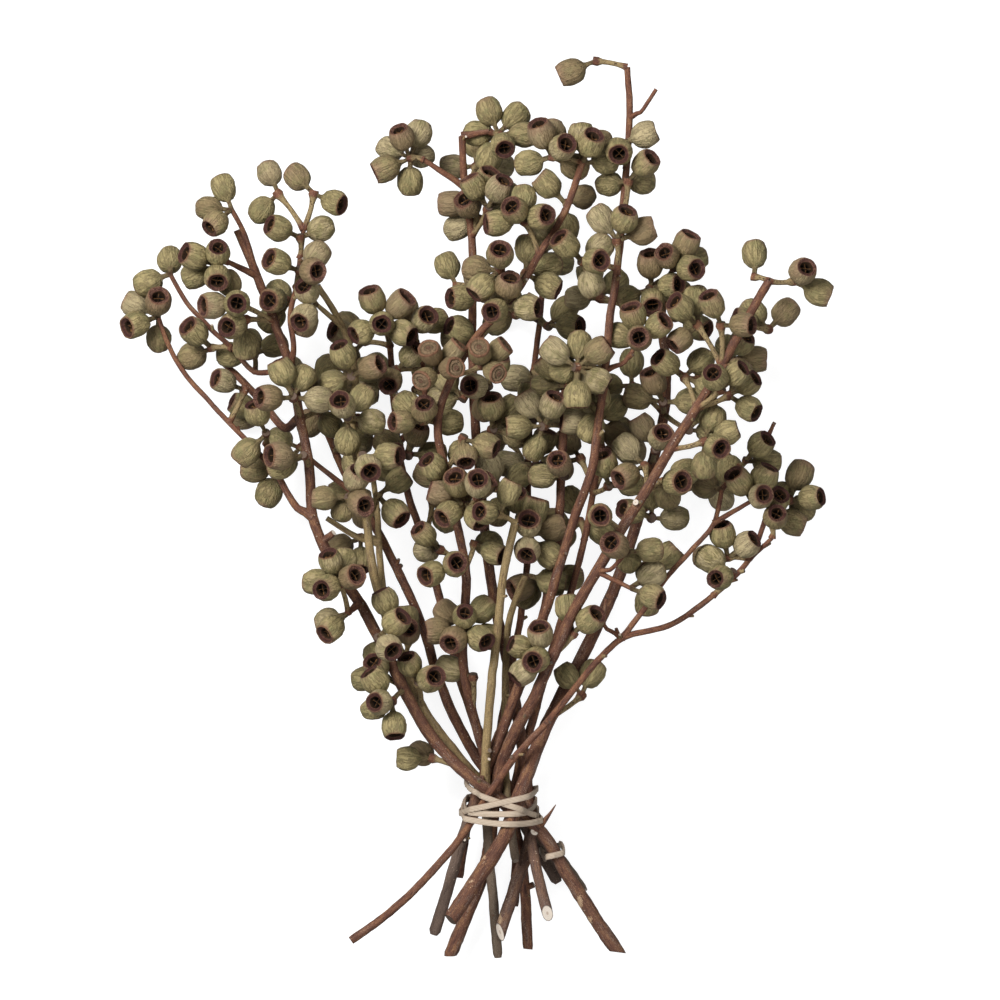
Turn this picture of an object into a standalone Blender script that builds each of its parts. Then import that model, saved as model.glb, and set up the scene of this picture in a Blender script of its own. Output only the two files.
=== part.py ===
"""A bunch of dried ambernut branches, lying down and tied with an elastic band.

The stem ends lie towards -Y and the tips towards +Y, and +Z is up. Lengths are in millimetres
until they reach a mesh, which is in metres.
"""

import math
import random
from collections import namedtuple

import bmesh
import bpy
import numpy as np
from mathutils import Matrix
from mathutils import Vector

OBJECT_NAME = "ambernut_branch_bunch"
METRES = 0.001

# Nuts
NUT_RADIUS = 6.5
NUT_BOUND = 7.0
NUT_REACH = 14.0
NUT_SIDES = 6
NECK_SIDES = 3
NECK_ROOT = -15.5
NECK_RADIUS = 1.5
# Height and radius of each six-sided ring, from the nut's middle towards its mouth
NUT_RINGS = ((-1.0, 6.6), (5.3, 4.7))
CUP_FLOOR = 2.2
SMALLEST_NUT = 0.93
LARGEST_NUT = 1.05
# Besides the first nut of each umbel, this share of them is made here
NUT_SHARE = 0.26

# Wood
STEM_STEP = 25.0
TWIG_STEP = 16.0
STALK_ROOT_RADIUS = 1.3
STALK_HUB_RADIUS = 2.1
HUB_OVERRUN = 1.5
TIP_SHARE = 0.55

# Settling
SETTLE_ROUNDS = 420
BRANCH_GAP = 0.7
SMALLEST_GAP = 0.25
REST_DEPTH = 1.1
SEARCH_MARGIN = 8.0
SEARCH_EVERY = 12

# Elastic bands
BAND_WIDTH = 3.1
BAND_THICKNESS = 1.0
BAND_GAP = 0.6
BAND_STEPS = 24
STRAND_RISE = 0.3

SEED = 11
COMPASS = ("N", "NNE", "NE", "ENE", "E", "ESE", "SE", "SSE", "S", "SSW", "SW", "WSW", "W", "WNW", "NW", "NNW")

MAROON = (0.105, 0.052, 0.038)
OLIVE = (0.230, 0.180, 0.085)
CREAM = (0.760, 0.640, 0.500)

# A branch's route runs from its cut end to its tip. Each twig starts at the branch's nearest point.
# An umbel is a hub and the way each of its nuts looks: a compass bearing, with N along +Y and E along +X,
# then a plus or a minus for each 30 degrees up or down. A full stop marks a nut that the bunch rests on.
Branch = namedtuple("Branch", "name colour widths route twigs umbels")

BRANCHES = (
    Branch(
        "branch_left_main",
        MAROON,
        (7.0, 4.2),
        ((73, -223, 26), (64.5, -210.5, 27), (54, -194, 28), (45.5, -180, 29), (38.5, -167.5, 31),
         (31, -157, 33), (21, -149, 36), (9, -141, 38), (-1.5, -132.5, 40), (-10.5, -123.5, 41),
         (-20, -113.5, 42), (-30, -97.5, 45), (-39, -80, 48), (-46, -64.5, 51), (-53, -52, 54),
         (-60.5, -39.5, 56), (-73, -22, 59), (-79, -13, 60), (-80, 5, 61), (-81, 20, 62), (-85, 40, 63),
         (-88, 60, 65), (-93, 80, 66), (-101, 100, 67), (-109, 122, 68), (-117, 140, 68)),
        (
            (4.0, ((-79, -12, 60), (-86, -2, 60), (-95, 13, 59), (-101, 26, 57), (-103, 33, 56))),
            (2.8, ((-99, 21, 58), (-110, 32, 55), (-120, 42, 52), (-130, 53, 50), (-140, 63, 48),
                   (-150, 78, 46), (-157, 97, 45))),
            (2.8, ((-96, 60, 62), (-105, 66, 58), (-112, 72, 57), (-120, 81, 56), (-128, 88, 56),
                   (-137, 97, 56), (-143, 104, 56), (-151, 118, 56))),
            (4.4, ((-86, 34, 60), (-95, 42, 46), (-110, 60, 38), (-127, 76, 32))),
            (3.0, ((-109, 110, 69), (-115, 120, 74), (-122, 124, 76))),
            (2.8, ((-110, 126, 68), (-113, 135, 72), (-115, 143, 74), (-120, 150, 76))),
            (3.0, ((-90, 70, 68), (-89, 82, 76), (-91, 95, 80), (-88, 110, 80), (-86, 124, 78),
                   (-84, 140, 74))),
            (3.2, ((-56, -49, 56), (-60, -52, 59), (-62, -52, 60))),
        ),
        (
            ((-157, 98, 45), "WNW N++ WSW+ S-"),
            ((-151, 118, 56), "N-- WSW-"),
            ((-127, 122, 80), "N++ S++ WSW- WNW+"),
            ((-120, 151, 76), "NNW- W- SW+"),
            ((-117, 103, 84), "W+ N+++ NNW-"),
            ((-113, 95, 76), "WSW++ S-"),
            ((-130, 81, 52), "NW+ WSW-"),
            ((-109, 78, 48), "NNW-- ENE- W-"),
            ((-97, 158, 70), "NNW- SW-"),
            ((-79, 158, 74), "NW- ESE+"),
            ((-86, 136, 80), "WNW+ ENE-"),
            ((-86, 119, 90), "NE- WNW+ E++"),
            ((-92, 104, 62), "W+ SW- NW--"),
            ((-89, 56, 84), "NNE- NNW W+ E-"),
            ((-78, 50, 52), "NE- SE-"),
            ((-104, 47, 14), "WNW W-."),
            ((-114, 60, 50), "WNW+"),
            ((-103, 38, 66), "SW- NNW+"),
            ((-97, 20, 44), "SSW- W-"),
            ((-84, 27, 74), "W+ WSW- "),
            ((-66, -36, 76), "NNW+ ENE++ WSW++ W- N--"),
            ((-62, -51, 60), "SW+ WSW-"),
            ((-47, -64, 68), "ESE++ NE+"),
            ((-39, -95, 62), "W++ WSW- S+ NW+"),
            ((-44, -84, 44), "NNW- W- N+"),
            ((-19.5, -124.5, 46), "W WNW--"),
        ),
    ),
    Branch(
        "branch_left_grey",
        OLIVE,
        (6.5, 3.0),
        ((57, -191, 18), (47.5, -176, 20), (39.5, -164.5, 22), (29, -154, 24), (18, -146, 27),
         (6, -133, 31), (-6.5, -120, 33), (-17.5, -106.5, 35), (-28, -91.5, 38), (-34, -75, 42),
         (-40, -58, 46), (-47.5, -45, 51), (-50.5, -26, 58), (-53, -4, 62), (-56, 14, 64),
         (-58, 31, 66), (-60, 46, 66), (-59, 62, 62), (-58, 77, 60), (-62, 85, 62), (-68, 99, 68),
         (-77, 112, 74)),
        (
            (3.6, ((-42, -48, 46), (-46, -30, 42), (-47, -14, 40), (-48, 0.5, 38), (-50, 16, 36))),
            (3.4, ((-47, -24, 42), (-53, -18, 44), (-60, -12, 44), (-66, -8, 44), (-73, -4, 44))),
            (2.6, ((-68, 95, 66), (-72, 99, 74), (-78, 103, 80))),
        ),
        (
            ((-62, 46, 84), "NNW++ NE- S- E-"),
            ((-79, 104, 82), "NW++ SW++ SSW-"),
            ((-60, 67, 76), "NNW+ ENE+ WSW-"),
            ((-62, 6, 72), "W- SSW-- ESE++ NNE+"),
            ((-47, 7, 62), "NE SE+"),
            ((-50, 24, 52), "ENE E--"),
            ((-55, 26, 84), "E+ SE++"),
            ((-27, -87, 60), "NNW+ ENE++"),
            ((-32, -66, 46), "NE++ N-"),
            ((-38, -58, 66), "NNW+ "),
            ((-54, 8, 14), "W S-."),
        ),
    ),
    Branch(
        "branch_left_dark",
        MAROON,
        (6.0, 3.6),
        ((43.5, -188, 5), (38, -178, 8), (30.5, -166, 13), (23, -153, 18), (14, -140, 22), (4, -127, 25),
         (-3, -116, 27), (-10, -101, 28), (-17, -83, 29), (-22, -66, 30), (-28, -48.5, 32),
         (-35.5, -33.5, 33),
         (-43, -18, 33), (-52, -2, 32), (-62, 15, 31), (-71, 35, 30), (-77, 52, 30)),
        (
            (2.8, ((-62, 15, 31), (-74, 20, 30), (-84, 28, 28))),
        ),
        (
            ((-86, 31, 26), "WNW- SW- NNE"),
            ((-82, 62, 18), "NW- NE ENE--."),
            ((-68, 34, 44), "NE+ SE E-"),
            ((-66, 60, 34), "NE- E"),
            ((-56, -14, 24), "WSW- S+"),
        ),
    ),
    Branch(
        "branch_left_inner",
        MAROON,
        (5.6, 3.0),
        ((43.5, -203, 38), (39.5, -192, 38.5), (34, -178, 38.5), (29, -160, 34), (22, -148, 29),
         (10, -134, 26),
         (0, -118, 25), (-7, -100, 24), (-12, -78, 23), (-16, -50, 24), (-19, -38, 25), (-23, -20, 26),
         (-28, -3, 27), (-33, 12, 27), (-36, 27, 28), (-38, 45, 31), (-40, 65, 36), (-41, 82, 42)),
        (
            (3.0, ((-36, 30, 29), (-28, 44, 36), (-24, 52, 40), (-24, 70, 44), (-28, 84, 46))),
        ),
        (
            ((-45, 93, 68), "N+ NNE+ WSW+ S+++ ESE+"),
            ((-29, 90, 56), "NE++ ENE- NNW-"),
            ((-54, 84, 44), "NW- WNW+ SW-"),
            ((-38, 70, 52), "SSW++ NE+ W-"),
            ((-28, 60, 30), "NNE- E"),
            ((-32, 28, 56), "NNE+ W- E-"),
            ((-48, 62, 14), "W N-."),
            ((-20, 5, 34), "E- NE+ SE-"),
        ),
    ),
    Branch(
        "branch_centre_red",
        MAROON,
        (5.5, 3.4),
        ((29.5, -219.5, 10), (28, -204, 12), (25.5, -184, 16), (22.5, -166.5, 21), (17, -152, 26),
         (9, -137, 32),
         (2, -120, 37), (-3, -97.5, 42), (-6, -75.5, 47), (-4, -52, 53), (-3, -30.5, 59), (-6.5, -11, 64),
         (-12, 15, 71), (-17, 35, 76), (-17, 50, 79), (-12, 62, 82), (-8, 70, 84), (-2, 80, 87), (5, 90, 90),
         (14, 98, 93), (24, 111, 95), (30, 122, 96), (37, 133, 97), (42, 142, 98), (47, 150, 98),
         (51, 162, 98), (55, 173, 98)),
        (),
        (
            ((-17, 70, 92), "NNW++= ENE++= WSW++= NE+="),
            ((5, 72, 94), "N++= NE+= ESE++="),
            ((-11, -28, 72), "NE+++ WSW++"),
            ((-16, -20, 66), "NW+ W--"),
            ((-3, 4, 78), "WSW+ WNW+ SE++ NE+ NNW+"),
            ((3, 6, 90), "N++"),
            ((-11, 13, 74), "NW+ WNW-"),
            ((-4, 36, 78), "ESE+ SSW- S+"),
            ((1, -17, 60), "ESE+ E--"),
            ((-4, -60, 60), "W SW++ N++ SE++ E- NE- NW-"),
            ((1, -84, 46), "WNW- "),
            ((-24, 44, 74), "W+ N++ NW- E-"),
            ((14, 120, 104), "N++ SSW+ W-"),
            ((17, 101, 100), "NNW+ W++ E+ N-"),
            ((26, 118, 88), "ENE- NNE- ESE"),
            ((26, 144, 100), "W+ NW++ ENE++ N- ESE-"),
            ((47, 153, 90), "NW ENE- S-"),
            ((40, 176, 96), "NNW+ NE++ N- WSW- ESE-"),
            ((55, 174, 98), "N E- NE+"),
        ),
    ),
    Branch(
        "branch_centre_tall",
        MAROON,
        (6.5, 3.5),
        ((8, -213, 36.5), (12, -194, 35), (15.5, -179, 33.5), (19, -166, 30.5), (19.5, -150, 27),
         (17.5, -130, 26),
         (18, -110, 26), (18, -95, 27), (15, -70, 29), (11, -45, 32), (8, -20, 36), (5, 10, 40), (2, 40, 44),
         (0, 70, 48), (0, 100, 53), (1, 130, 58), (-2, 148, 61), (-4, 165, 63), (-5, 187, 64)),
        (
            (3.0, ((-4, 167, 63), (-15, 171, 64), (-24, 175, 64))),
            (3.2, ((-5, 186, 64), (2, 190, 66), (9, 189, 66))),
        ),
        (
            ((-31, 176, 64), "NNW+ NNE- WNW- WSW S- ENE--"),
            ((3, 153, 66), "W NNE+ "),
            ((4, 146, 58), "WSW- NW+ E-"),
            ((-8, 112, 54), "NNW-"),
            ((13, 188, 68), "NNW- NE- E SSE++ SSW- W-"),
            ((8, 150, 78), "NNW NNE+ NE-"),
            ((6, 106, 66), "W+ NNW+ E-"),
            ((4, 86, 50), "W- WNW+ NE-"),
            ((8, 62, 60), "NNE+ W++ S-"),
            ((-4, 56, 50), "W- NW "),
            ((10, 40, 58), "N+ NE E-"),
            ((2, 172, 40), "E- N- W-"),
            ((14, 10, 52), "NNW ENE- S-"),
        ),
    ),
    Branch(
        "branch_centre_thin",
        MAROON,
        (4.0, 2.8),
        ((11, -182, 18), (12, -160, 19), (13, -145, 19), (14, -130, 19), (17, -105, 19), (20.5, -82, 19),
         (24, -60, 20),
         (27, -38, 21), (28, -15, 22), (28, 5, 23), (28, 25, 24), (29, 48, 26), (31, 72, 28),
         (34, 95, 30), (36, 120, 32)),
        (),
        (
            ((24, -4, 42), "N+ NNW-"),
            ((32, 22, 36), "E- NE+ W"),
            ((30, 44, 40), "N W+ ENE-"),
            ((34, 66, 38), "NE+ W- E-"),
            ((38, 92, 40), "E+ NE- NW"),
            ((36, 124, 16), "N NW+ E-."),
            ((22, 98, 14), "NW W-."),
            ((20, 34, 13), "NNW W-."),
        ),
    ),
    Branch(
        "branch_olive_front",
        OLIVE,
        (5.0, 4.0),
        ((13.5, -223.5, 14), (13, -204, 17), (12, -184, 22), (11, -165, 29), (10, -147, 36), (9.5, -129, 42),
         (10.5, -102, 50), (12, -75.5, 59), (13.5, -57.5, 66), (14.5, -39.5, 72), (17.5, -22, 78),
         (21, -6.5, 82)),
        (),
        (
            ((13, -2, 88), "W+ NNE"),
        ),
    ),
    Branch(
        "branch_centre_dark",
        MAROON,
        (6.0, 4.0),
        ((-3, -188, 22), (0, -172, 24), (4, -160, 25), (9, -147, 26.5), (15, -130, 28.5), (21, -112, 31),
         (27, -92, 34),
         (32, -72, 37), (36, -55, 40), (38.5, -40, 43), (41, -22, 46), (43, -5, 49), (44, 15, 52),
         (45, 30, 54),
         (46, 48, 56), (47, 66, 58)),
        (),
        (
            ((33, -16, 66), "NW++ W++ NE- SE- N-"),
            ((30, -73, 58), "N++ WSW+ WNW- NE+"),
            ((46, 17, 66), "NNW++ W-"),
            ((36, 42, 70), "NNE+ NW- SSW- W"),
            ((48, 62, 62), "NE- NW W-"),
            ((36, -34, 40), "WSW+ E- SW-"),
        ),
    ),
    Branch(
        "branch_right_tall",
        MAROON,
        (6.0, 3.2),
        ((-19.5, -213, 14), (-12.5, -194, 18), (-6, -174.5, 23), (-3, -164.5, 26), (4, -147, 30),
         (11, -130, 36),
         (19, -108, 43), (27, -82, 51), (34.5, -59.5, 58), (39, -46, 63), (42, -35, 67), (47, -18, 72),
         (51, -4, 76), (59, 15, 81), (62, 38, 86), (66, 64, 90), (68, 90, 92), (71, 110, 92), (74, 130, 90),
         (76, 160, 86), (78.5, 185, 82), (79, 200, 80), (77.5, 221, 77)),
        (
            (2.4, ((68, 64, 91), (73, 70, 93), (78, 76, 94), (84, 85, 95))),
            (2.2, ((79, 188, 82), (84, 198, 84), (88, 203, 85), (92, 210, 85))),
        ),
        (
            ((62, 224, 78), "WSW"),
            ((74, 182, 90), "ENE W- WSW++"),
            ((78, 164, 92), "NE+ W- E--"),
            ((55, 124, 100), "NW+ NE- E++ SSE-"),
            ((72, 134, 96), "NW- NNE+ ENE"),
            ((85, 87, 98), "N+++ NNW+ ENE+ W-"),
            ((53, 70, 100), "NW- N- NE- ESE- W-- S-"),
            ((64, 52, 84), "N+ WNW+ SSW-"),
        ),
    ),
    Branch(
        "branch_right_front",
        MAROON,
        (7.0, 4.2),
        ((-11, -224.5, 14), (-7, -212, 16), (0, -194, 20), (5, -180, 23), (8, -163, 28), (9, -147, 33),
         (11, -132, 39),
         (15, -118, 44), (23, -103, 51), (32, -87, 58), (40, -69, 65), (48, -53, 71), (57, -38, 76),
         (67.5, -22, 81), (76.5, -6.5, 86), (85.5, 7, 90), (100, 32, 95), (110, 48, 98), (120, 63, 100),
         (129, 80, 101), (139, 99, 100), (143, 106, 99), (148, 114, 98)),
        (
            (2.4, ((62, -36, 78), (69, -30, 84), (77, -21, 90))),
            (2.4, ((60, -38, 76), (68, -40, 80), (79, -39, 84))),
        ),
        (
            ((141, 116, 96), "N- "),
            ((160, 114, 92), "ESE NE++ "),
            ((124, 92, 106), "NNW+ E+ "),
            ((148, 90, 82), "WNW NW- NE-"),
            ((124, 60, 106), "NNW++ NE+ "),
            ((112, 92, 92), "NW+ WSW+ N-"),
            ((128, 57, 92), "ENE+ ESE+ NNE-"),
            ((116, 34, 96), "ENE ESE++ S- NNE-"),
            ((95, 14, 76), "E++ SSE-- ENE-"),
            ((64, -3, 96), "NNE+++"),
            ((77.5, -20, 92), "WNW++ E- SSE--"),
            ((80, -39, 84), "NE- ESE+"),
            ((50, -62, 66), "NNE+ NNW "),
            ((86, 22, 74), "WSW+ NW-"),
            ((106, 66, 88), "NW+ NE- ESE"),
        ),
    ),
    Branch(
        "branch_right_thin",
        MAROON,
        (4.2, 2.6),
        ((-61, -216.5, 30), (-41.5, -202, 33), (-26.5, -188, 36), (-11.5, -170.5, 39), (0, -156, 42),
         (7, -143, 45),
         (14, -132.5, 48), (23, -121, 51), (36.5, -107, 54), (49.5, -91.5, 57), (60.5, -77, 59),
         (67.5, -69, 60),
         (76.5, -63, 61), (83.5, -62, 61), (92.5, -60.5, 61), (103.5, -55.5, 60), (112, -50.5, 59),
         (121, -42.5, 57), (130, -33.5, 55), (139, -24.5, 53), (146, -13, 52), (148, -1, 51)),
        (
            (2.8, ((79, -62, 61), (90, -43, 63), (99.5, -30.5, 64), (112, -17.5, 64), (121, -6.5, 63),
                   (125, 10, 62))),
            (2.4, ((122, -5, 63), (129, -2, 64), (134, 0, 65), (140, 4.5, 65))),
            (2.0, ((66, -70, 60), (66, -58, 64), (67, -44, 68))),
            (2.2, ((141, -22, 53), (146, -20, 56), (150, -14, 60))),
            (2.0, ((125, 10, 62), (134, 22, 59), (145, 32, 57), (151, 44, 57))),
        ),
        (
            ((140, 4.5, 66), "NNW+ NNE+ ENE++"),
            ((126, 12, 60), "NNE- NW-- "),
            ((136, 24, 62), "NE+ E-"),
            ((150, -8, 62), "N++ "),
            ((148, 1, 52), "NE++ ENE- ESE-"),
            ((158, 6, 48), "E+ NNE- SE--"),
            ((130, -31, 64), "WSW++ NW- "),
            ((128, -24, 54), "NNW+ NE+ W-"),
            ((56, -92, 48), "NW- NNE-"),
        ),
    ),
    Branch(
        "branch_right_thick",
        MAROON,
        (8.0, 4.2),
        ((-12.5, -206, 46), (-4, -192, 45), (6, -176.5, 44), (14, -162.5, 43), (19, -150, 41),
         (24, -134.5, 39),
         (30, -120, 37), (37, -105, 35), (47, -87, 33), (57, -69, 31), (68, -47, 29), (74.5, -33.5, 28),
         (80, -15, 28), (86, 5, 29), (91, 25, 31), (96, 45, 34), (98, 65, 39), (96, 85, 46),
         (94, 102, 56), (98, 116, 66)),
        (
            (3.0, ((98, 62, 37), (112, 66, 28), (124, 72, 20))),
            (3.0, ((86, 4, 29), (100, 8, 22), (114, 12, 17))),
        ),
        (
            ((88, -33, 50), "ESE++ NE S-"),
            ((90, -4, 56), "E- WNW+ N-"),
            ((95, 54, 68), "NNW+ W- E"),
            ((92, 30, 62), "NNE++ NW"),
            ((101, 121, 82), "NNW++ NNE+ E++ ENE-"),
            ((89, 111, 74), "N+ E+ SSE++ WSW E-"),
            ((102, 96, 60), "N- NE ESE+"),
            ((128, 76, 17), "NE+ E N--."),
            ((118, 13, 14), "ENE SE-. NE"),
            ((108, 40, 60), "NE E- "),
            ((80, 62, 40), "N- W-"),
            ((64, 106, 50), "NNW W- NE-"),
        ),
    ),
    Branch(
        "branch_right_inner",
        MAROON,
        (5.0, 3.0),
        ((22, -198, 4), (23, -180, 9), (21, -162, 16), (19, -147, 20), (21, -132, 23), (27, -112, 27),
         (33, -91, 31),
         (38.5, -72, 35), (44.5, -54, 39), (49, -41, 42), (54, -26, 45), (58, -6.5, 49), (60, 5, 51),
         (63, 18, 54),
         (65, 32, 58)),
        (),
        (
            ((63, 44, 64), "N+ NW- W ESE- ENE-"),
            ((54, -6, 36), "NNW- SW- W+ ESE-"),
            ((68, 12, 66), "N+ E-"),
            ((54, 26, 40), "NW- W+"),
            ((68, 30, 14), "NE E-."),
        ),
    ),
    Branch(
        "branch_olive_short",
        OLIVE,
        (4.4, 3.2),
        ((18, -176, 38), (17, -160, 36), (14.5, -147, 33), (14, -128, 35), (15, -102, 40), (16.5, -76, 46),
         (19, -54, 52), (27.5, -33, 57)),
        (),
        (
            ((28, -31, 57), "ESE-"),
        ),
    ),
)

# Each turn of a band: its middle along Y, what it gains at the right and what it gains at the top
MAIN_STRANDS = (
    (-147.2, 0.2, -5.0),
    (-144.7, -9.0, -1.8),
    (-150.5, -1.5, -6.5),
    (-145.7, 6.2, -0.8),
)
SMALL_STRANDS = (
    (-171.1, 3.1, -2.0),
)
SMALL_BAND_BRANCHES = ("branch_left_main", "branch_left_grey")


def mouth_direction(token):
    """The way a nut looks, for a token such as NW++."""
    lift = math.radians(30 * (token.count("+") - token.count("-")))
    bearing = math.radians(90 - 22.5 * COMPASS.index(token.rstrip("+-.=")))
    return np.array((math.cos(lift) * math.cos(bearing), math.cos(lift) * math.sin(bearing), math.sin(lift)))


def evenly(route, step):
    """Points about a step apart along a route, its ends among them."""
    route = np.array(route, float)
    along = np.concatenate(([0], np.cumsum(np.linalg.norm(np.diff(route, axis=0), axis=1))))
    wanted = np.linspace(0, along[-1], max(2, round(along[-1] / step) + 1))
    return np.stack([np.interp(wanted, along, route[:, axis]) for axis in range(3)], axis=1)


class Skeleton:
    """The bunch as points, the wood that joins them, and a ball for each nut."""

    def __init__(self):
        self.points = []
        self.radii = []
        self.mobility = []
        self.hold = []
        self.floor = []
        self.resting = []
        self.wood = []
        self.runs = []
        self.stalks = []
        self.nuts = []
        self.bends = []

    def add(self, point, radius, mobility, hold):
        self.points.append(np.array(point, float))
        self.radii.append(radius)
        self.mobility.append(mobility)
        self.hold.append(hold)
        self.floor.append(radius)
        return len(self.points) - 1

    def join(self, first, second, radius, branch):
        self.wood.append((first, second, radius, branch))

    def run(self, branch, points, widths, start, mobility):
        """One tapered length of wood. It grows from the point numbered start, if there is one."""
        radii = np.linspace(widths[0] / 2, widths[1] / 2, len(points))
        ids = []
        for place, (point, radius) in enumerate(zip(points, radii)):
            if place == 0 and start is not None:
                ids.append(start)
            else:
                ids.append(self.add(point, radius, mobility, (0.10, 0.05)))
        for place, (first, second) in enumerate(zip(ids, ids[1:])):
            self.join(first, second, (radii[place] + radii[place + 1]) / 2, branch)
        self.bends.extend(zip(ids, ids[1:], ids[2:]))
        self.runs.append((branch, tuple(ids), tuple(radii)))
        return ids

    def nearest(self, ids, point):
        place = np.array([self.points[i] for i in ids])
        return ids[int(np.argmin(np.linalg.norm(place - point, axis=1)))]

    def umbel(self, branch, wood, hub, tokens, draw):
        """A stalk from the branch to the hub, and the hub's nuts."""
        hub = np.array(hub, float)
        root = self.nearest(wood, hub - np.array((0, 7, 0)))
        if np.linalg.norm(self.points[root] - hub) < 4:
            middle = root
        else:
            middle = self.add(hub, STALK_HUB_RADIUS, 0.8, (0.06, 0.04))
            self.join(root, middle, STALK_HUB_RADIUS, branch)
            self.stalks.append((branch, root, middle))
        for place, token in enumerate(tokens.split()):
            size = draw.uniform(SMALLEST_NUT, LARGEST_NUT)
            way = mouth_direction(token)
            nut = self.add(hub + way * NUT_REACH * size, NUT_BOUND * size, 1.0, (0.05, 0.02))
            self.floor[nut] = NUT_RADIUS * size
            if token.endswith("."):
                self.points[nut][2] = NUT_RADIUS * size - REST_DEPTH
                self.floor[nut] -= REST_DEPTH
                self.resting.append(nut)
            self.nuts.append((branch, middle, nut, size, place == 0 or token.endswith(".")))


def grown(branches):
    """The skeleton of every branch, as first laid out."""
    bones = Skeleton()
    draw = random.Random(SEED)
    for number, branch in enumerate(branches):
        wood = list(bones.run(number, evenly(branch.route, STEM_STEP), branch.widths, None, 0.25))
        for width, route in branch.twigs:
            points = evenly(route, TWIG_STEP)
            start = bones.nearest(wood, points[0])
            wood.extend(bones.run(number, points, (width, width * TIP_SHARE + 0.8), start, 0.5)[1:])
        for hub, tokens in branch.umbels:
            bones.umbel(number, wood, hub, tokens, draw)
    return bones


def nearest_between(first, second, starts, ends):
    """How far along each of two sets of segments they come closest, and the step between those places."""
    a0 = starts[first]
    b0 = starts[second]
    a_way = ends[first] - a0
    b_way = ends[second] - b0
    apart = a0 - b0
    aa = np.maximum((a_way * a_way).sum(1), 1e-9)
    bb = np.maximum((b_way * b_way).sum(1), 1e-9)
    ab = (a_way * b_way).sum(1)
    a_apart = (a_way * apart).sum(1)
    b_apart = (b_way * apart).sum(1)
    spread = np.maximum(aa * bb - ab * ab, 1e-9)
    s = np.clip((ab * b_apart - bb * a_apart) / spread, 0, 1)
    t = np.clip((ab * s + b_apart) / bb, 0, 1)
    s = np.clip((ab * t - a_apart) / aa, 0, 1)
    return s, t, (a0 + a_way * s[:, None]) - (b0 + b_way * t[:, None])


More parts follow.
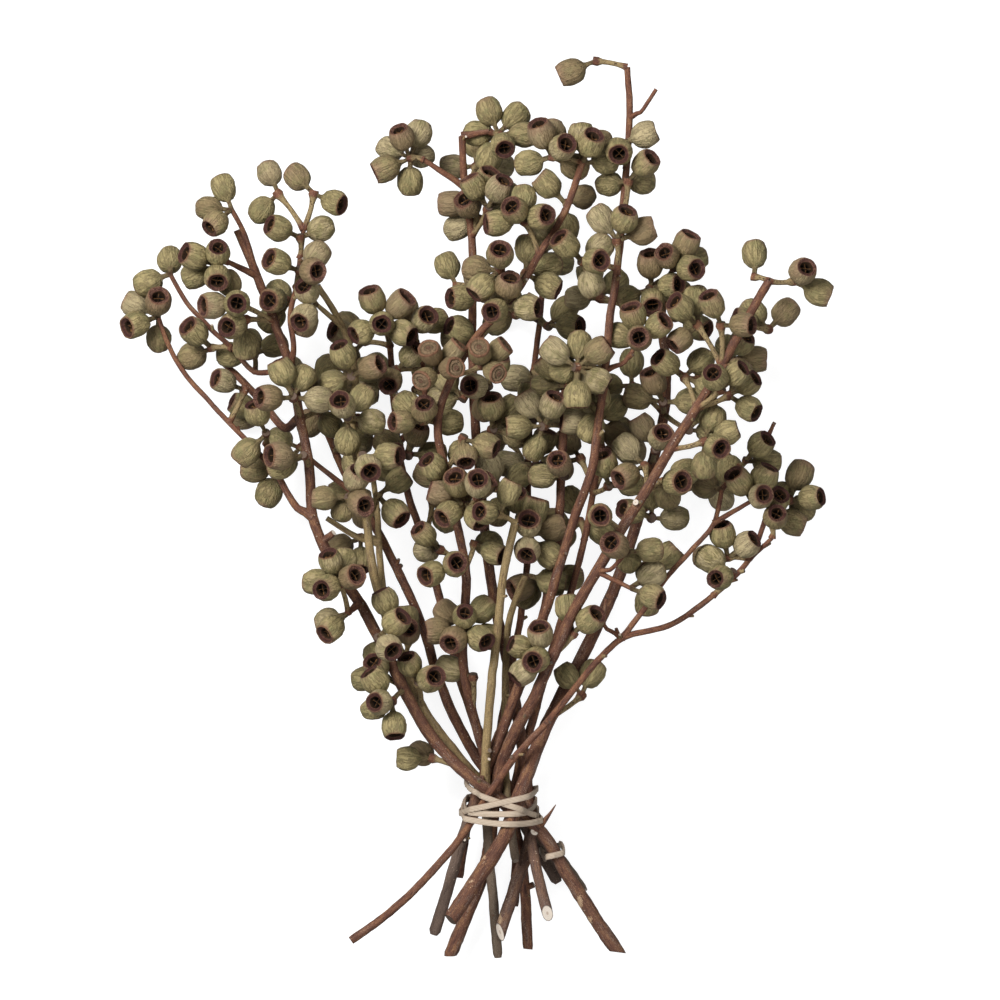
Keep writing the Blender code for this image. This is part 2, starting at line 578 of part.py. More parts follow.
class Settling:
    """Moves the skeleton's points until no branch crosses another and nothing is under the floor."""

    def __init__(self, bones):
        self.bones = bones
        self.at = np.array(bones.points)
        self.home = self.at.copy()
        self.mobility = np.array(bones.mobility)
        self.hold = np.array(bones.hold)
        self.floor = np.array(bones.floor)
        necks = [(hub, nut, NECK_RADIUS, branch) for branch, hub, nut, _, _ in bones.nuts]
        balls = [(nut, nut, bones.radii[nut], branch) for branch, _, nut, _, _ in bones.nuts]
        sticks = bones.wood + necks
        self.links = np.array([stick[:2] for stick in sticks])
        self.lengths = np.linalg.norm(self.at[self.links[:, 0]] - self.at[self.links[:, 1]], axis=1)
        for place, (_, _, _, size, _) in enumerate(bones.nuts):
            self.lengths[len(bones.wood) + place] = NUT_REACH * size
        shapes = sticks + balls
        self.ends = np.array([shape[:2] for shape in shapes])
        self.reach = np.array([shape[2] for shape in shapes])
        self.branch = np.array([shape[3] for shape in shapes])
        self.is_ball = np.arange(len(shapes)) >= len(sticks)
        self.is_neck = (np.arange(len(shapes)) >= len(bones.wood)) & ~self.is_ball
        bends = np.array(bones.bends)
        self.bends = bends
        self.bow = self.at[bends[:, 1]] - (self.at[bends[:, 0]] + self.at[bends[:, 2]]) / 2

    def pairs(self, margin):
        """Each two shapes near enough to touch, with the least step that they keep."""
        starts = self.at[self.ends[:, 0]]
        ends = self.at[self.ends[:, 1]]
        middles = (starts + ends) / 2
        size = np.linalg.norm(ends - starts, axis=1) / 2 + self.reach
        steps = np.linalg.norm(middles[:, None, :] - middles[None, :, :], axis=2)
        near = np.triu(steps < size[:, None] + size[None, :] + margin, 1)
        first, second = np.nonzero(near)
        own = self.branch[first] == self.branch[second]
        a = self.ends[first]
        b = self.ends[second]
        shared = (a[:, :1] == b).any(1) | (a[:, 1:] == b).any(1)
        ball_pair = self.is_ball[first] | self.is_ball[second]
        neck_pair = self.is_neck[first] | self.is_neck[second]
        keep = ~shared & (~own | (ball_pair & ~neck_pair))
        first, second, own = first[keep], second[keep], own[keep]
        gap = np.where(own, -0.3, BRANCH_GAP)
        return first, second, self.reach[first] + self.reach[second] + gap, own

    def clear(self, first, second, least):
        """Pushes apart what is too near."""
        starts = self.at[self.ends[:, 0]]
        ends = self.at[self.ends[:, 1]]
        s, t, step = nearest_between(first, second, starts, ends)
        far = np.linalg.norm(step, axis=1)
        deep = far < least
        first, second, s, t = first[deep], second[deep], s[deep], t[deep]
        if not len(first):
            return
        away = step[deep] / np.maximum(far[deep], 1e-6)[:, None]
        short = least[deep] - far[deep]
        corners = np.concatenate((self.ends[first], self.ends[second]), 1)
        shares = np.stack((1 - s, s, t - 1, -t), 1)
        weights = self.mobility[corners] * shares
        total = np.maximum((weights * shares).sum(1), 1e-6)
        moves = (weights * (short / total)[:, None])[:, :, None] * away[:, None, :]
        self.spread(corners, moves, np.abs(shares) > 0.05)

    def spread(self, corners, moves, counted):
        """Adds each point's moves, averaged a little where it has several."""
        total = np.zeros_like(self.at)
        count = np.zeros(len(self.at))
        np.add.at(total, corners.reshape(-1), moves.reshape(-1, 3))
        np.add.at(count, corners.reshape(-1), counted.reshape(-1))
        self.at += total / np.maximum(count, 1)[:, None] ** 0.75

    def keep_lengths(self):
        i, j = self.links.T
        step = self.at[i] - self.at[j]
        far = np.maximum(np.linalg.norm(step, axis=1), 1e-6)
        total = self.mobility[i] + self.mobility[j]
        pull = (step / far[:, None]) * ((far - self.lengths) / total)[:, None]
        moves = np.stack((-pull * self.mobility[i][:, None], pull * self.mobility[j][:, None]), 1)
        self.spread(self.links, moves, np.ones(self.links.shape))

    def keep_bends(self):
        i, j, k = self.bends.T
        wanted = (self.at[i] + self.at[k]) / 2 + self.bow
        move = (wanted - self.at[j]) * 0.2
        moves = np.stack((-move / 2, move, -move / 2), 1)
        self.spread(self.bends, moves, np.ones(self.bends.shape))

    def run(self):
        for turn in range(SETTLE_ROUNDS):
            if turn % SEARCH_EVERY == 0:
                first, second, least, _ = self.pairs(SEARCH_MARGIN)
            ease = max(0.0, 1 - turn / (0.8 * SETTLE_ROUNDS))
            home = (self.home - self.at) * ease
            self.at[:, :2] += home[:, :2] * self.hold[:, :1]
            self.at[:, 2] += home[:, 2] * self.hold[:, 1]
            self.keep_bends()
            self.keep_lengths()
            self.clear(first, second, least)
            self.at[:, 2] = np.maximum(self.at[:, 2], self.floor)
            self.at[self.bones.resting, 2] = self.home[self.bones.resting, 2]
        self.centre()

    def centre(self):
        """Puts the middle of the bunch over the origin."""
        reach = np.array(self.bones.radii)
        low = (self.at - reach[:, None]).min(0)
        high = (self.at + reach[:, None]).max(0)
        self.shift = -(low + high) / 2
        self.at[:, :2] += self.shift[:2]

    def crossing_nuts(self):
        """The nuts that still come too near another branch, which are left out."""
        first, second, least, own = self.pairs(2.0)
        starts = self.at[self.ends[:, 0]]
        ends = self.at[self.ends[:, 1]]
        _, _, step = nearest_between(first, second, starts, ends)
        short = least - np.linalg.norm(step, axis=1)
        bad = (short > BRANCH_GAP - SMALLEST_GAP) & ~own
        dropped = set()
        for pair in zip(first[bad], second[bad]):
            nuts = [int(self.ends[shape, 1]) for shape in pair if self.is_ball[shape] or self.is_neck[shape]]
            if nuts and not dropped.intersection(nuts):
                dropped.add(nuts[0])
        return dropped


def finish(name, colour, roughness):
    """A plain material of one colour."""
    material = bpy.data.materials.new(name)
    material.use_nodes = True
    shader = material.node_tree.nodes["Principled BSDF"]
    shader.inputs["Base Color"].default_value = (*colour, 1)
    shader.inputs["Roughness"].default_value = roughness
    shader.inputs["Metallic"].default_value = 0
    return material


def collection(name):
    made = bpy.data.collections.new(name)
    bpy.context.scene.collection.children.link(made)
    return made


def placed(name, mesh, into):
    made = bpy.data.objects.new(name, mesh)
    into.objects.link(made)
    return made


def evaluated_mesh(made):
    graph = bpy.context.evaluated_depsgraph_get()
    return bpy.data.meshes.new_from_object(made.evaluated_get(graph))


def weld(mesh):
    form = bmesh.new()
    form.from_mesh(mesh)
    bmesh.ops.remove_doubles(form, verts=form.verts, dist=1e-6)
    bmesh.ops.recalc_face_normals(form, faces=form.faces)
    form.to_mesh(mesh)
    form.free()


def tube(name, points, radii, sides_level, into):
    """A tapered tube along points in millimetres, with flat ends."""
    data = bpy.data.curves.new(name, "CURVE")
    data.dimensions = "3D"
    data.bevel_depth = METRES
    data.bevel_resolution = sides_level
    data.use_fill_caps = True
    spline = data.splines.new("POLY")
    spline.points.add(len(points) - 1)
    for knot, point, radius in zip(spline.points, points, radii):
        knot.co = (*(np.array(point) * METRES), 1)
        knot.radius = radius
    curve = placed(name + "_route", data, into)
    mesh = evaluated_mesh(curve)
    weld(mesh)
    bpy.data.objects.remove(curve)
    bpy.data.curves.remove(data)
    return placed(name, mesh, into)


def ring(form, height, radius, sides, turn):
    return [
        form.verts.new((radius * math.cos(turn + math.tau * side / sides),
                        radius * math.sin(turn + math.tau * side / sides), height))
        for side in range(sides)
    ]


def nut_mesh():
    """A nut along +Z with its middle at the origin: a three-sided neck that opens into a six-sided cup."""
    form = bmesh.new()
    root = form.verts.new((0, 0, NECK_ROOT))
    neck = ring(form, -NUT_RADIUS, NECK_RADIUS, NECK_SIDES, math.pi / NUT_SIDES)
    rings = [ring(form, height, radius, NUT_SIDES, 0) for height, radius in NUT_RINGS]
    floor = form.verts.new((0, 0, CUP_FLOOR))
    for side in range(NECK_SIDES):
        after = neck[(side + 1) % NECK_SIDES]
        form.faces.new((root, after, neck[side]))
        left = rings[0][2 * side]
        middle = rings[0][2 * side + 1]
        right = rings[0][(2 * side + 2) % NUT_SIDES]
        form.faces.new((neck[side], middle, left))
        form.faces.new((neck[side], right, middle))
        form.faces.new((neck[side], after, right))
    for low, high in zip(rings, rings[1:]):
        for side in range(NUT_SIDES):
            after = (side + 1) % NUT_SIDES
            form.faces.new((low[side], low[after], high[after], high[side]))
    for side in range(NUT_SIDES):
        form.faces.new((rings[-1][side], rings[-1][(side + 1) % NUT_SIDES], floor))
    bmesh.ops.recalc_face_normals(form, faces=form.faces)
    bmesh.ops.scale(form, vec=(METRES, METRES, METRES), verts=form.verts)
    mesh = bpy.data.meshes.new("nut")
    form.to_mesh(mesh)
    form.free()
    return mesh


def along(start, end):
    """The turn that takes +Z to the way from start to end."""
    return Vector(end - start).to_track_quat("Z", "Y").to_matrix().to_4x4()


def stalk(root, hub, into):
    """A four-sided stalk that thickens to its hub, sunk in the wood that it grows from."""
    way = (hub - root) / np.linalg.norm(hub - root)
    end = hub + way * HUB_OVERRUN
    form = bmesh.new()
    bmesh.ops.create_cone(
        form,
        cap_ends=True,
        segments=4,
        radius1=STALK_ROOT_RADIUS * METRES,
        radius2=STALK_HUB_RADIUS * METRES,
        depth=float(np.linalg.norm(end - root)) * METRES,
    )
    mesh = bpy.data.meshes.new("stalk")
    form.to_mesh(mesh)
    form.free()
    made = placed("stalk", mesh, into)
    made.matrix_world = Matrix.Translation(Vector((root + end) / 2 * METRES)) @ along(root, end)


def union(base, others, solver):
    """Joins a collection's objects to the base, and removes them."""
    modifier = base.modifiers.new("joined", "BOOLEAN")
    modifier.operation = "UNION"
    modifier.operand_type = "COLLECTION"
    modifier.collection = others
    modifier.solver = solver
    base.data = evaluated_mesh(base)
    base.modifiers.clear()
    for other in list(others.objects):
        bpy.data.objects.remove(other)


def cut_flat(base, helpers):
    """Takes off what reaches below the surface that the bunch lies on."""
    if min(corner.co.z for corner in base.data.vertices) >= 0:
        return
    form = bmesh.new()
    bmesh.ops.create_cube(form, size=1.0)
    mesh = bpy.data.meshes.new("under_floor")
    form.to_mesh(mesh)
    form.free()
    cutter = placed("under_floor", mesh, helpers)
    cutter.matrix_world = Matrix.Translation((0, 0, -0.5))
    modifier = base.modifiers.new("flat", "BOOLEAN")
    modifier.operation = "DIFFERENCE"
    modifier.object = cutter
    modifier.solver = "EXACT"
    base.data = evaluated_mesh(base)
    base.modifiers.clear()
    bpy.data.objects.remove(cutter)


def branch_objects(settled, parts, helpers):
    """One object for each branch, its wood and nuts joined."""
    bones = settled.bones
    at = settled.at
    dropped = settled.crossing_nuts()
    form = nut_mesh()
    turns = random.Random(SEED + 1)
    for number, branch in enumerate(BRANCHES):
        runs = [run for run in bones.runs if run[0] == number]
        _, ids, radii = runs[0]
        base = tube(branch.name, at[list(ids)], radii, 1, parts)
        for _, ids, radii in runs[1:]:
            tube("twig", at[list(ids)], radii, 0, helpers)
        for owner, root, hub in bones.stalks:
            if owner == number:
                stalk(at[root], at[hub], helpers)
        for owner, hub, nut, size, always in bones.nuts:
            if owner != number:
                continue
            spin = Matrix.Rotation(turns.uniform(0, math.tau), 4, "Z")
            if nut in dropped or not (always or turns.random() < NUT_SHARE):
                continue
            made = placed("nut", form, helpers)
            middle = Matrix.Translation(Vector(at[nut] * METRES))
            made.matrix_world = middle @ along(at[hub], at[nut]) @ spin @ Matrix.Scale(size, 4)
        bpy.context.view_layer.update()
        union(base, helpers, "MANIFOLD")
        cut_flat(base, helpers)
        base.data.materials.clear()
        base.data.materials.append(finish(branch.name, branch.colour, 0.7))
    bpy.data.meshes.remove(form)


def wood_samples(settled, names):
    """Middles and radii along the stems of the named branches, a millimetre apart."""
    middles = []
    radii = []
    for number, ids, widths in settled.bones.runs:
        if names and BRANCHES[number].name not in names:
            continue
        points = settled.at[list(ids)]
        for first, second, thick, thin in zip(points, points[1:], widths, widths[1:]):
            count = max(2, int(np.linalg.norm(second - first)))
            share = np.linspace(0, 1, count)[:, None]
            middles.append(first + (second - first) * share)
            radii.append(thick + (thin - thick) * share[:, 0])
    return np.concatenate(middles), np.concatenate(radii)


def hull_reach(samples, centre, height, angle):
    """How far the stems' outline reaches from the centre, across the stems at a height along them."""
    middles, radii = samples
    near = np.abs(middles[:, 1] - height) < BAND_WIDTH
    flat = middles[near][:, (0, 2)] - centre
    leans = np.radians(np.arange(-75, 76, 5))
    ways = np.stack((np.cos(angle + leans), np.sin(angle + leans)), 1)
    support = (flat @ ways.T + radii[near][:, None]).max(0)
    return float((support / np.cos(leans)).min())


def strand(name, settled, samples, centre, course, rise, into):
    """One closed turn of a band: a flat strap that lies round the stems' outline."""
    half_step = math.pi / BAND_STEPS
    middle, gain_right, gain_top = course
    shift = settled.shift[:2]
    corners = []
    form = bmesh.new()
    for place in range(BAND_STEPS):
        angle = math.tau * place / BAND_STEPS
        height = middle + shift[1] + gain_right * math.cos(angle) + gain_top * math.sin(angle)
        around = (angle - half_step, angle, angle + half_step)
        inner = max(hull_reach(samples, centre, height, near) for near in around) + BAND_GAP + rise
        section = []
        outer = inner + BAND_THICKNESS
        for reach, side in ((inner, -1), (outer, -1), (outer, 1), (inner, 1)):
            spot = (centre[0] + reach * math.cos(angle), height + side * BAND_WIDTH / 2,
                    centre[1] + reach * math.sin(angle))
            section.append(form.verts.new(np.array(spot) * METRES))
        corners.append(section)
    for place, section in enumerate(corners):
        after = corners[(place + 1) % BAND_STEPS]
        for side in range(4):
            other = (side + 1) % 4
            form.faces.new((section[side], section[other], after[other], after[side]))
    bmesh.ops.recalc_face_normals(form, faces=form.faces)
    mesh = bpy.data.meshes.new(name)
    form.to_mesh(mesh)
    form.free()
    return placed(name, mesh, into)


def band_object(name, settled, courses, names, parts, helpers):
    """A band as its turns, joined where they cross."""
    samples = wood_samples(settled, names)
    level = np.mean([course[0] for course in courses]) + settled.shift[1]
    near = np.abs(samples[0][:, 1] - level) < BAND_WIDTH
    flat = samples[0][near][:, (0, 2)]
    centre = (flat.min(0) + flat.max(0)) / 2
    base = strand(name, settled, samples, centre, courses[0], 0, parts)
    for place, course in enumerate(courses[1:], 1):
        strand("turn", settled, samples, centre, course, place * STRAND_RISE, helpers)
    if len(courses) > 1:
        union(base, helpers, "MANIFOLD")
    base.data.materials.clear()
    base.data.materials.append(finish(name, CREAM, 0.55))


def main():
    for made in list(bpy.data.objects):
        bpy.data.objects.remove(made)
    parts = collection(OBJECT_NAME)
    helpers = collection("helpers")
    helpers.hide_render = True
    settled = Settling(grown(BRANCHES))
    settled.run()
    branch_objects(settled, parts, helpers)
    band_object("elastic_band", settled, MAIN_STRANDS, (), parts, helpers)
    band_object("small_elastic_band", settled, SMALL_STRANDS, SMALL_BAND_BRANCHES, parts, helpers)


main()
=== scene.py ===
"""The looks of a bunch of dried ambernut branches, lying on a pale floor and tied with elastic bands.

The bunch is laid out by the same rule and the same seeded draws as its solids, and finer wood and nuts
replace each branch's solid. Lengths are in millimetres until they reach a mesh, which is in metres.
"""

import sys
import logging
import math
import random
from collections.abc import Iterable
from collections.abc import Sequence
from dataclasses import dataclass
from dataclasses import field
from enum import Enum
from typing import Any

import bpy
import numpy as np
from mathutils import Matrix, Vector


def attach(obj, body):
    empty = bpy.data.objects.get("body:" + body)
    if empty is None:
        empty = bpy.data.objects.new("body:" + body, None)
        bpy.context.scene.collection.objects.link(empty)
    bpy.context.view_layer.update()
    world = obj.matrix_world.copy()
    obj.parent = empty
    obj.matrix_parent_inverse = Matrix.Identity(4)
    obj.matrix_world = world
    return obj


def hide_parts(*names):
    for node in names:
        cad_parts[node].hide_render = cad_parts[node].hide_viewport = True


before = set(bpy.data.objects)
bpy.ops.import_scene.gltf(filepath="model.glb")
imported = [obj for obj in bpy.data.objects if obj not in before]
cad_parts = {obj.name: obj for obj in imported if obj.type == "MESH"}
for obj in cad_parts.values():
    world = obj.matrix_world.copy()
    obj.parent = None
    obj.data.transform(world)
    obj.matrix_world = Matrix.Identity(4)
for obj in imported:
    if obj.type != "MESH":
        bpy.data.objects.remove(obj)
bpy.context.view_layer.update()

LOG = logging.getLogger("ambernut_bunch")
METRES = 0.001
BODY = "root"
SEED = 11
COMPASS = ("N", "NNE", "NE", "ENE", "E", "ESE", "SE", "SSE", "S", "SSW", "SW", "WSW", "W", "WNW", "NW", "NNW")

# Nuts, as in the solids
NUT_RADIUS = 6.5
NUT_BOUND = 7.0
NUT_REACH = 14.0
NECK_RADIUS = 1.5
SMALLEST_NUT = 0.93
LARGEST_NUT = 1.05

# Wood, as in the solids
STEM_STEP = 25.0
TWIG_STEP = 16.0
STALK_HUB_RADIUS = 2.1
TIP_SHARE = 0.55

# Settling, as in the solids
SETTLE_ROUNDS = 420
BRANCH_GAP = 0.7
SMALLEST_GAP = 0.25
REST_DEPTH = 1.1
SEARCH_MARGIN = 8.0
SEARCH_EVERY = 12

# Elastic bands, as in the solids
BAND_WIDTH = 3.1
BAND_GAP = 0.6

# Below this place along Y the bark is weathered, fully so after this distance
AGED_ABOVE = -138.0
AGED_OVER = 16.0

Colour = tuple[float, float, float]
Point = tuple[float, float, float]
Route = tuple[Point, ...]


class Bark(Enum):
    """The colour family of a branch's bark, with its material slot."""

    MAROON = "maroon_branch"
    OLIVE = "olive_branch"


class Form(Enum):
    """The shapes that a nut can have, numbered as the nut tree picks them."""

    ROUND = 0
    BARREL = 1
    URN = 2
    SEALED = 3


@dataclass(frozen=True)
class Branch:
    """One branch as it is laid out.

    The route runs from the cut end to the tip. Each twig is a width and a route. An umbel is a hub and
    the way each of its nuts looks: a compass bearing, with N along +Y and E along +X, then a plus or a
    minus for each 30 degrees up or down. A full stop marks a nut that rests on the surface, and an
    equals sign a sealed one.
    """

    name: str
    bark: Bark
    widths: tuple[float, float]
    route: Route
    twigs: tuple[tuple[float, Route], ...]
    umbels: tuple[tuple[Point, str], ...]


BRANCHES = (
    Branch(
        "branch_left_main",
        Bark.MAROON,
        (7.0, 4.2),
        ((73, -223, 26), (64.5, -210.5, 27), (54, -194, 28), (45.5, -180, 29), (38.5, -167.5, 31),
         (31, -157, 33), (21, -149, 36), (9, -141, 38), (-1.5, -132.5, 40), (-10.5, -123.5, 41),
         (-20, -113.5, 42), (-30, -97.5, 45), (-39, -80, 48), (-46, -64.5, 51), (-53, -52, 54),
         (-60.5, -39.5, 56), (-73, -22, 59), (-79, -13, 60), (-80, 5, 61), (-81, 20, 62), (-85, 40, 63),
         (-88, 60, 65), (-93, 80, 66), (-101, 100, 67), (-109, 122, 68), (-117, 140, 68)),
        (
            (4.0, ((-79, -12, 60), (-86, -2, 60), (-95, 13, 59), (-101, 26, 57), (-103, 33, 56))),
            (2.8, ((-99, 21, 58), (-110, 32, 55), (-120, 42, 52), (-130, 53, 50), (-140, 63, 48),
                   (-150, 78, 46), (-157, 97, 45))),
            (2.8, ((-96, 60, 62), (-105, 66, 58), (-112, 72, 57), (-120, 81, 56), (-128, 88, 56),
                   (-137, 97, 56), (-143, 104, 56), (-151, 118, 56))),
            (4.4, ((-86, 34, 60), (-95, 42, 46), (-110, 60, 38), (-127, 76, 32))),
            (3.0, ((-109, 110, 69), (-115, 120, 74), (-122, 124, 76))),
            (2.8, ((-110, 126, 68), (-113, 135, 72), (-115, 143, 74), (-120, 150, 76))),
            (3.0, ((-90, 70, 68), (-89, 82, 76), (-91, 95, 80), (-88, 110, 80), (-86, 124, 78),
                   (-84, 140, 74))),
            (3.2, ((-56, -49, 56), (-60, -52, 59), (-62, -52, 60))),
        ),
        (
            ((-157, 98, 45), "WNW N++ WSW+ S-"),
            ((-151, 118, 56), "N-- WSW-"),
            ((-127, 122, 80), "N++ S++ WSW- WNW+"),
            ((-120, 151, 76), "NNW- W- SW+"),
            ((-117, 103, 84), "W+ N+++ NNW-"),
            ((-113, 95, 76), "WSW++ S-"),
            ((-130, 81, 52), "NW+ WSW-"),
            ((-109, 78, 48), "NNW-- ENE- W-"),
            ((-97, 158, 70), "NNW- SW-"),
            ((-79, 158, 74), "NW- ESE+"),
            ((-86, 136, 80), "WNW+ ENE-"),
            ((-86, 119, 90), "NE- WNW+ E++"),
            ((-92, 104, 62), "W+ SW- NW--"),
            ((-89, 56, 84), "NNE- NNW W+ E-"),
            ((-78, 50, 52), "NE- SE-"),
            ((-104, 47, 14), "WNW W-."),
            ((-114, 60, 50), "WNW+"),
            ((-103, 38, 66), "SW- NNW+"),
            ((-97, 20, 44), "SSW- W-"),
            ((-84, 27, 74), "W+ WSW- "),
            ((-66, -36, 76), "NNW+ ENE++ WSW++ W- N--"),
            ((-62, -51, 60), "SW+ WSW-"),
            ((-47, -64, 68), "ESE++ NE+"),
            ((-39, -95, 62), "W++ WSW- S+ NW+"),
            ((-44, -84, 44), "NNW- W- N+"),
            ((-19.5, -124.5, 46), "W WNW--"),
        ),
    ),
    Branch(
        "branch_left_grey",
        Bark.OLIVE,
        (6.5, 3.0),
        ((57, -191, 18), (47.5, -176, 20), (39.5, -164.5, 22), (29, -154, 24), (18, -146, 27),
         (6, -133, 31), (-6.5, -120, 33), (-17.5, -106.5, 35), (-28, -91.5, 38), (-34, -75, 42),
         (-40, -58, 46), (-47.5, -45, 51), (-50.5, -26, 58), (-53, -4, 62), (-56, 14, 64),
         (-58, 31, 66), (-60, 46, 66), (-59, 62, 62), (-58, 77, 60), (-62, 85, 62), (-68, 99, 68),
         (-77, 112, 74)),
        (
            (3.6, ((-42, -48, 46), (-46, -30, 42), (-47, -14, 40), (-48, 0.5, 38), (-50, 16, 36))),
            (3.4, ((-47, -24, 42), (-53, -18, 44), (-60, -12, 44), (-66, -8, 44), (-73, -4, 44))),
            (2.6, ((-68, 95, 66), (-72, 99, 74), (-78, 103, 80))),
        ),
        (
            ((-62, 46, 84), "NNW++ NE- S- E-"),
            ((-79, 104, 82), "NW++ SW++ SSW-"),
            ((-60, 67, 76), "NNW+ ENE+ WSW-"),
            ((-62, 6, 72), "W- SSW-- ESE++ NNE+"),
            ((-47, 7, 62), "NE SE+"),
            ((-50, 24, 52), "ENE E--"),
            ((-55, 26, 84), "E+ SE++"),
            ((-27, -87, 60), "NNW+ ENE++"),
            ((-32, -66, 46), "NE++ N-"),
            ((-38, -58, 66), "NNW+ "),
            ((-54, 8, 14), "W S-."),
        ),
    ),
    Branch(
        "branch_left_dark",
        Bark.MAROON,
        (6.0, 3.6),
        ((43.5, -188, 5), (38, -178, 8), (30.5, -166, 13), (23, -153, 18), (14, -140, 22), (4, -127, 25),
         (-3, -116, 27), (-10, -101, 28), (-17, -83, 29), (-22, -66, 30), (-28, -48.5, 32),
         (-35.5, -33.5, 33),
         (-43, -18, 33), (-52, -2, 32), (-62, 15, 31), (-71, 35, 30), (-77, 52, 30)),
        (
            (2.8, ((-62, 15, 31), (-74, 20, 30), (-84, 28, 28))),
        ),
        (
            ((-86, 31, 26), "WNW- SW- NNE"),
            ((-82, 62, 18), "NW- NE ENE--."),
            ((-68, 34, 44), "NE+ SE E-"),
            ((-66, 60, 34), "NE- E"),
            ((-56, -14, 24), "WSW- S+"),
        ),
    ),
    Branch(
        "branch_left_inner",
        Bark.MAROON,
        (5.6, 3.0),
        ((43.5, -203, 38), (39.5, -192, 38.5), (34, -178, 38.5), (29, -160, 34), (22, -148, 29),
         (10, -134, 26),
         (0, -118, 25), (-7, -100, 24), (-12, -78, 23), (-16, -50, 24), (-19, -38, 25), (-23, -20, 26),
         (-28, -3, 27), (-33, 12, 27), (-36, 27, 28), (-38, 45, 31), (-40, 65, 36), (-41, 82, 42)),
        (
            (3.0, ((-36, 30, 29), (-28, 44, 36), (-24, 52, 40), (-24, 70, 44), (-28, 84, 46))),
        ),
        (
            ((-45, 93, 68), "N+ NNE+ WSW+ S+++ ESE+"),
            ((-29, 90, 56), "NE++ ENE- NNW-"),
            ((-54, 84, 44), "NW- WNW+ SW-"),
            ((-38, 70, 52), "SSW++ NE+ W-"),
            ((-28, 60, 30), "NNE- E"),
            ((-32, 28, 56), "NNE+ W- E-"),
            ((-48, 62, 14), "W N-."),
            ((-20, 5, 34), "E- NE+ SE-"),
        ),
    ),
    Branch(
        "branch_centre_red",
        Bark.MAROON,
        (5.5, 3.4),
        ((29.5, -219.5, 10), (28, -204, 12), (25.5, -184, 16), (22.5, -166.5, 21), (17, -152, 26),
         (9, -137, 32),
         (2, -120, 37), (-3, -97.5, 42), (-6, -75.5, 47), (-4, -52, 53), (-3, -30.5, 59), (-6.5, -11, 64),
         (-12, 15, 71), (-17, 35, 76), (-17, 50, 79), (-12, 62, 82), (-8, 70, 84), (-2, 80, 87), (5, 90, 90),
         (14, 98, 93), (24, 111, 95), (30, 122, 96), (37, 133, 97), (42, 142, 98), (47, 150, 98),
         (51, 162, 98), (55, 173, 98)),
        (),
        (
            ((-17, 70, 92), "NNW++= ENE++= WSW++= NE+="),
            ((5, 72, 94), "N++= NE+= ESE++="),
            ((-11, -28, 72), "NE+++ WSW++"),
            ((-16, -20, 66), "NW+ W--"),
            ((-3, 4, 78), "WSW+ WNW+ SE++ NE+ NNW+"),
            ((3, 6, 90), "N++"),
            ((-11, 13, 74), "NW+ WNW-"),
            ((-4, 36, 78), "ESE+ SSW- S+"),
            ((1, -17, 60), "ESE+ E--"),
            ((-4, -60, 60), "W SW++ N++ SE++ E- NE- NW-"),
            ((1, -84, 46), "WNW- "),
            ((-24, 44, 74), "W+ N++ NW- E-"),
            ((14, 120, 104), "N++ SSW+ W-"),
            ((17, 101, 100), "NNW+ W++ E+ N-"),
            ((26, 118, 88), "ENE- NNE- ESE"),
            ((26, 144, 100), "W+ NW++ ENE++ N- ESE-"),
            ((47, 153, 90), "NW ENE- S-"),
            ((40, 176, 96), "NNW+ NE++ N- WSW- ESE-"),
            ((55, 174, 98), "N E- NE+"),
        ),
    ),
    Branch(
        "branch_centre_tall",
        Bark.MAROON,
        (6.5, 3.5),
        ((8, -213, 36.5), (12, -194, 35), (15.5, -179, 33.5), (19, -166, 30.5), (19.5, -150, 27),
         (17.5, -130, 26),
         (18, -110, 26), (18, -95, 27), (15, -70, 29), (11, -45, 32), (8, -20, 36), (5, 10, 40), (2, 40, 44),
         (0, 70, 48), (0, 100, 53), (1, 130, 58), (-2, 148, 61), (-4, 165, 63), (-5, 187, 64)),
        (
            (3.0, ((-4, 167, 63), (-15, 171, 64), (-24, 175, 64))),
            (3.2, ((-5, 186, 64), (2, 190, 66), (9, 189, 66))),
        ),
        (
            ((-31, 176, 64), "NNW+ NNE- WNW- WSW S- ENE--"),
            ((3, 153, 66), "W NNE+ "),
            ((4, 146, 58), "WSW- NW+ E-"),
            ((-8, 112, 54), "NNW-"),
            ((13, 188, 68), "NNW- NE- E SSE++ SSW- W-"),
            ((8, 150, 78), "NNW NNE+ NE-"),
            ((6, 106, 66), "W+ NNW+ E-"),
            ((4, 86, 50), "W- WNW+ NE-"),
            ((8, 62, 60), "NNE+ W++ S-"),
            ((-4, 56, 50), "W- NW "),
            ((10, 40, 58), "N+ NE E-"),
            ((2, 172, 40), "E- N- W-"),
            ((14, 10, 52), "NNW ENE- S-"),
        ),
    ),
    Branch(
        "branch_centre_thin",
        Bark.MAROON,
        (4.0, 2.8),
        ((11, -182, 18), (12, -160, 19), (13, -145, 19), (14, -130, 19), (17, -105, 19), (20.5, -82, 19),
         (24, -60, 20),
         (27, -38, 21), (28, -15, 22), (28, 5, 23), (28, 25, 24), (29, 48, 26), (31, 72, 28),
         (34, 95, 30), (36, 120, 32)),
        (),
        (
            ((24, -4, 42), "N+ NNW-"),
            ((32, 22, 36), "E- NE+ W"),
            ((30, 44, 40), "N W+ ENE-"),
            ((34, 66, 38), "NE+ W- E-"),
            ((38, 92, 40), "E+ NE- NW"),
            ((36, 124, 16), "N NW+ E-."),
            ((22, 98, 14), "NW W-."),
            ((20, 34, 13), "NNW W-."),
        ),
    ),
    Branch(
        "branch_olive_front",
        Bark.OLIVE,
        (5.0, 4.0),
        ((13.5, -223.5, 14), (13, -204, 17), (12, -184, 22), (11, -165, 29), (10, -147, 36), (9.5, -129, 42),
         (10.5, -102, 50), (12, -75.5, 59), (13.5, -57.5, 66), (14.5, -39.5, 72), (17.5, -22, 78),
         (21, -6.5, 82)),
        (),
        (
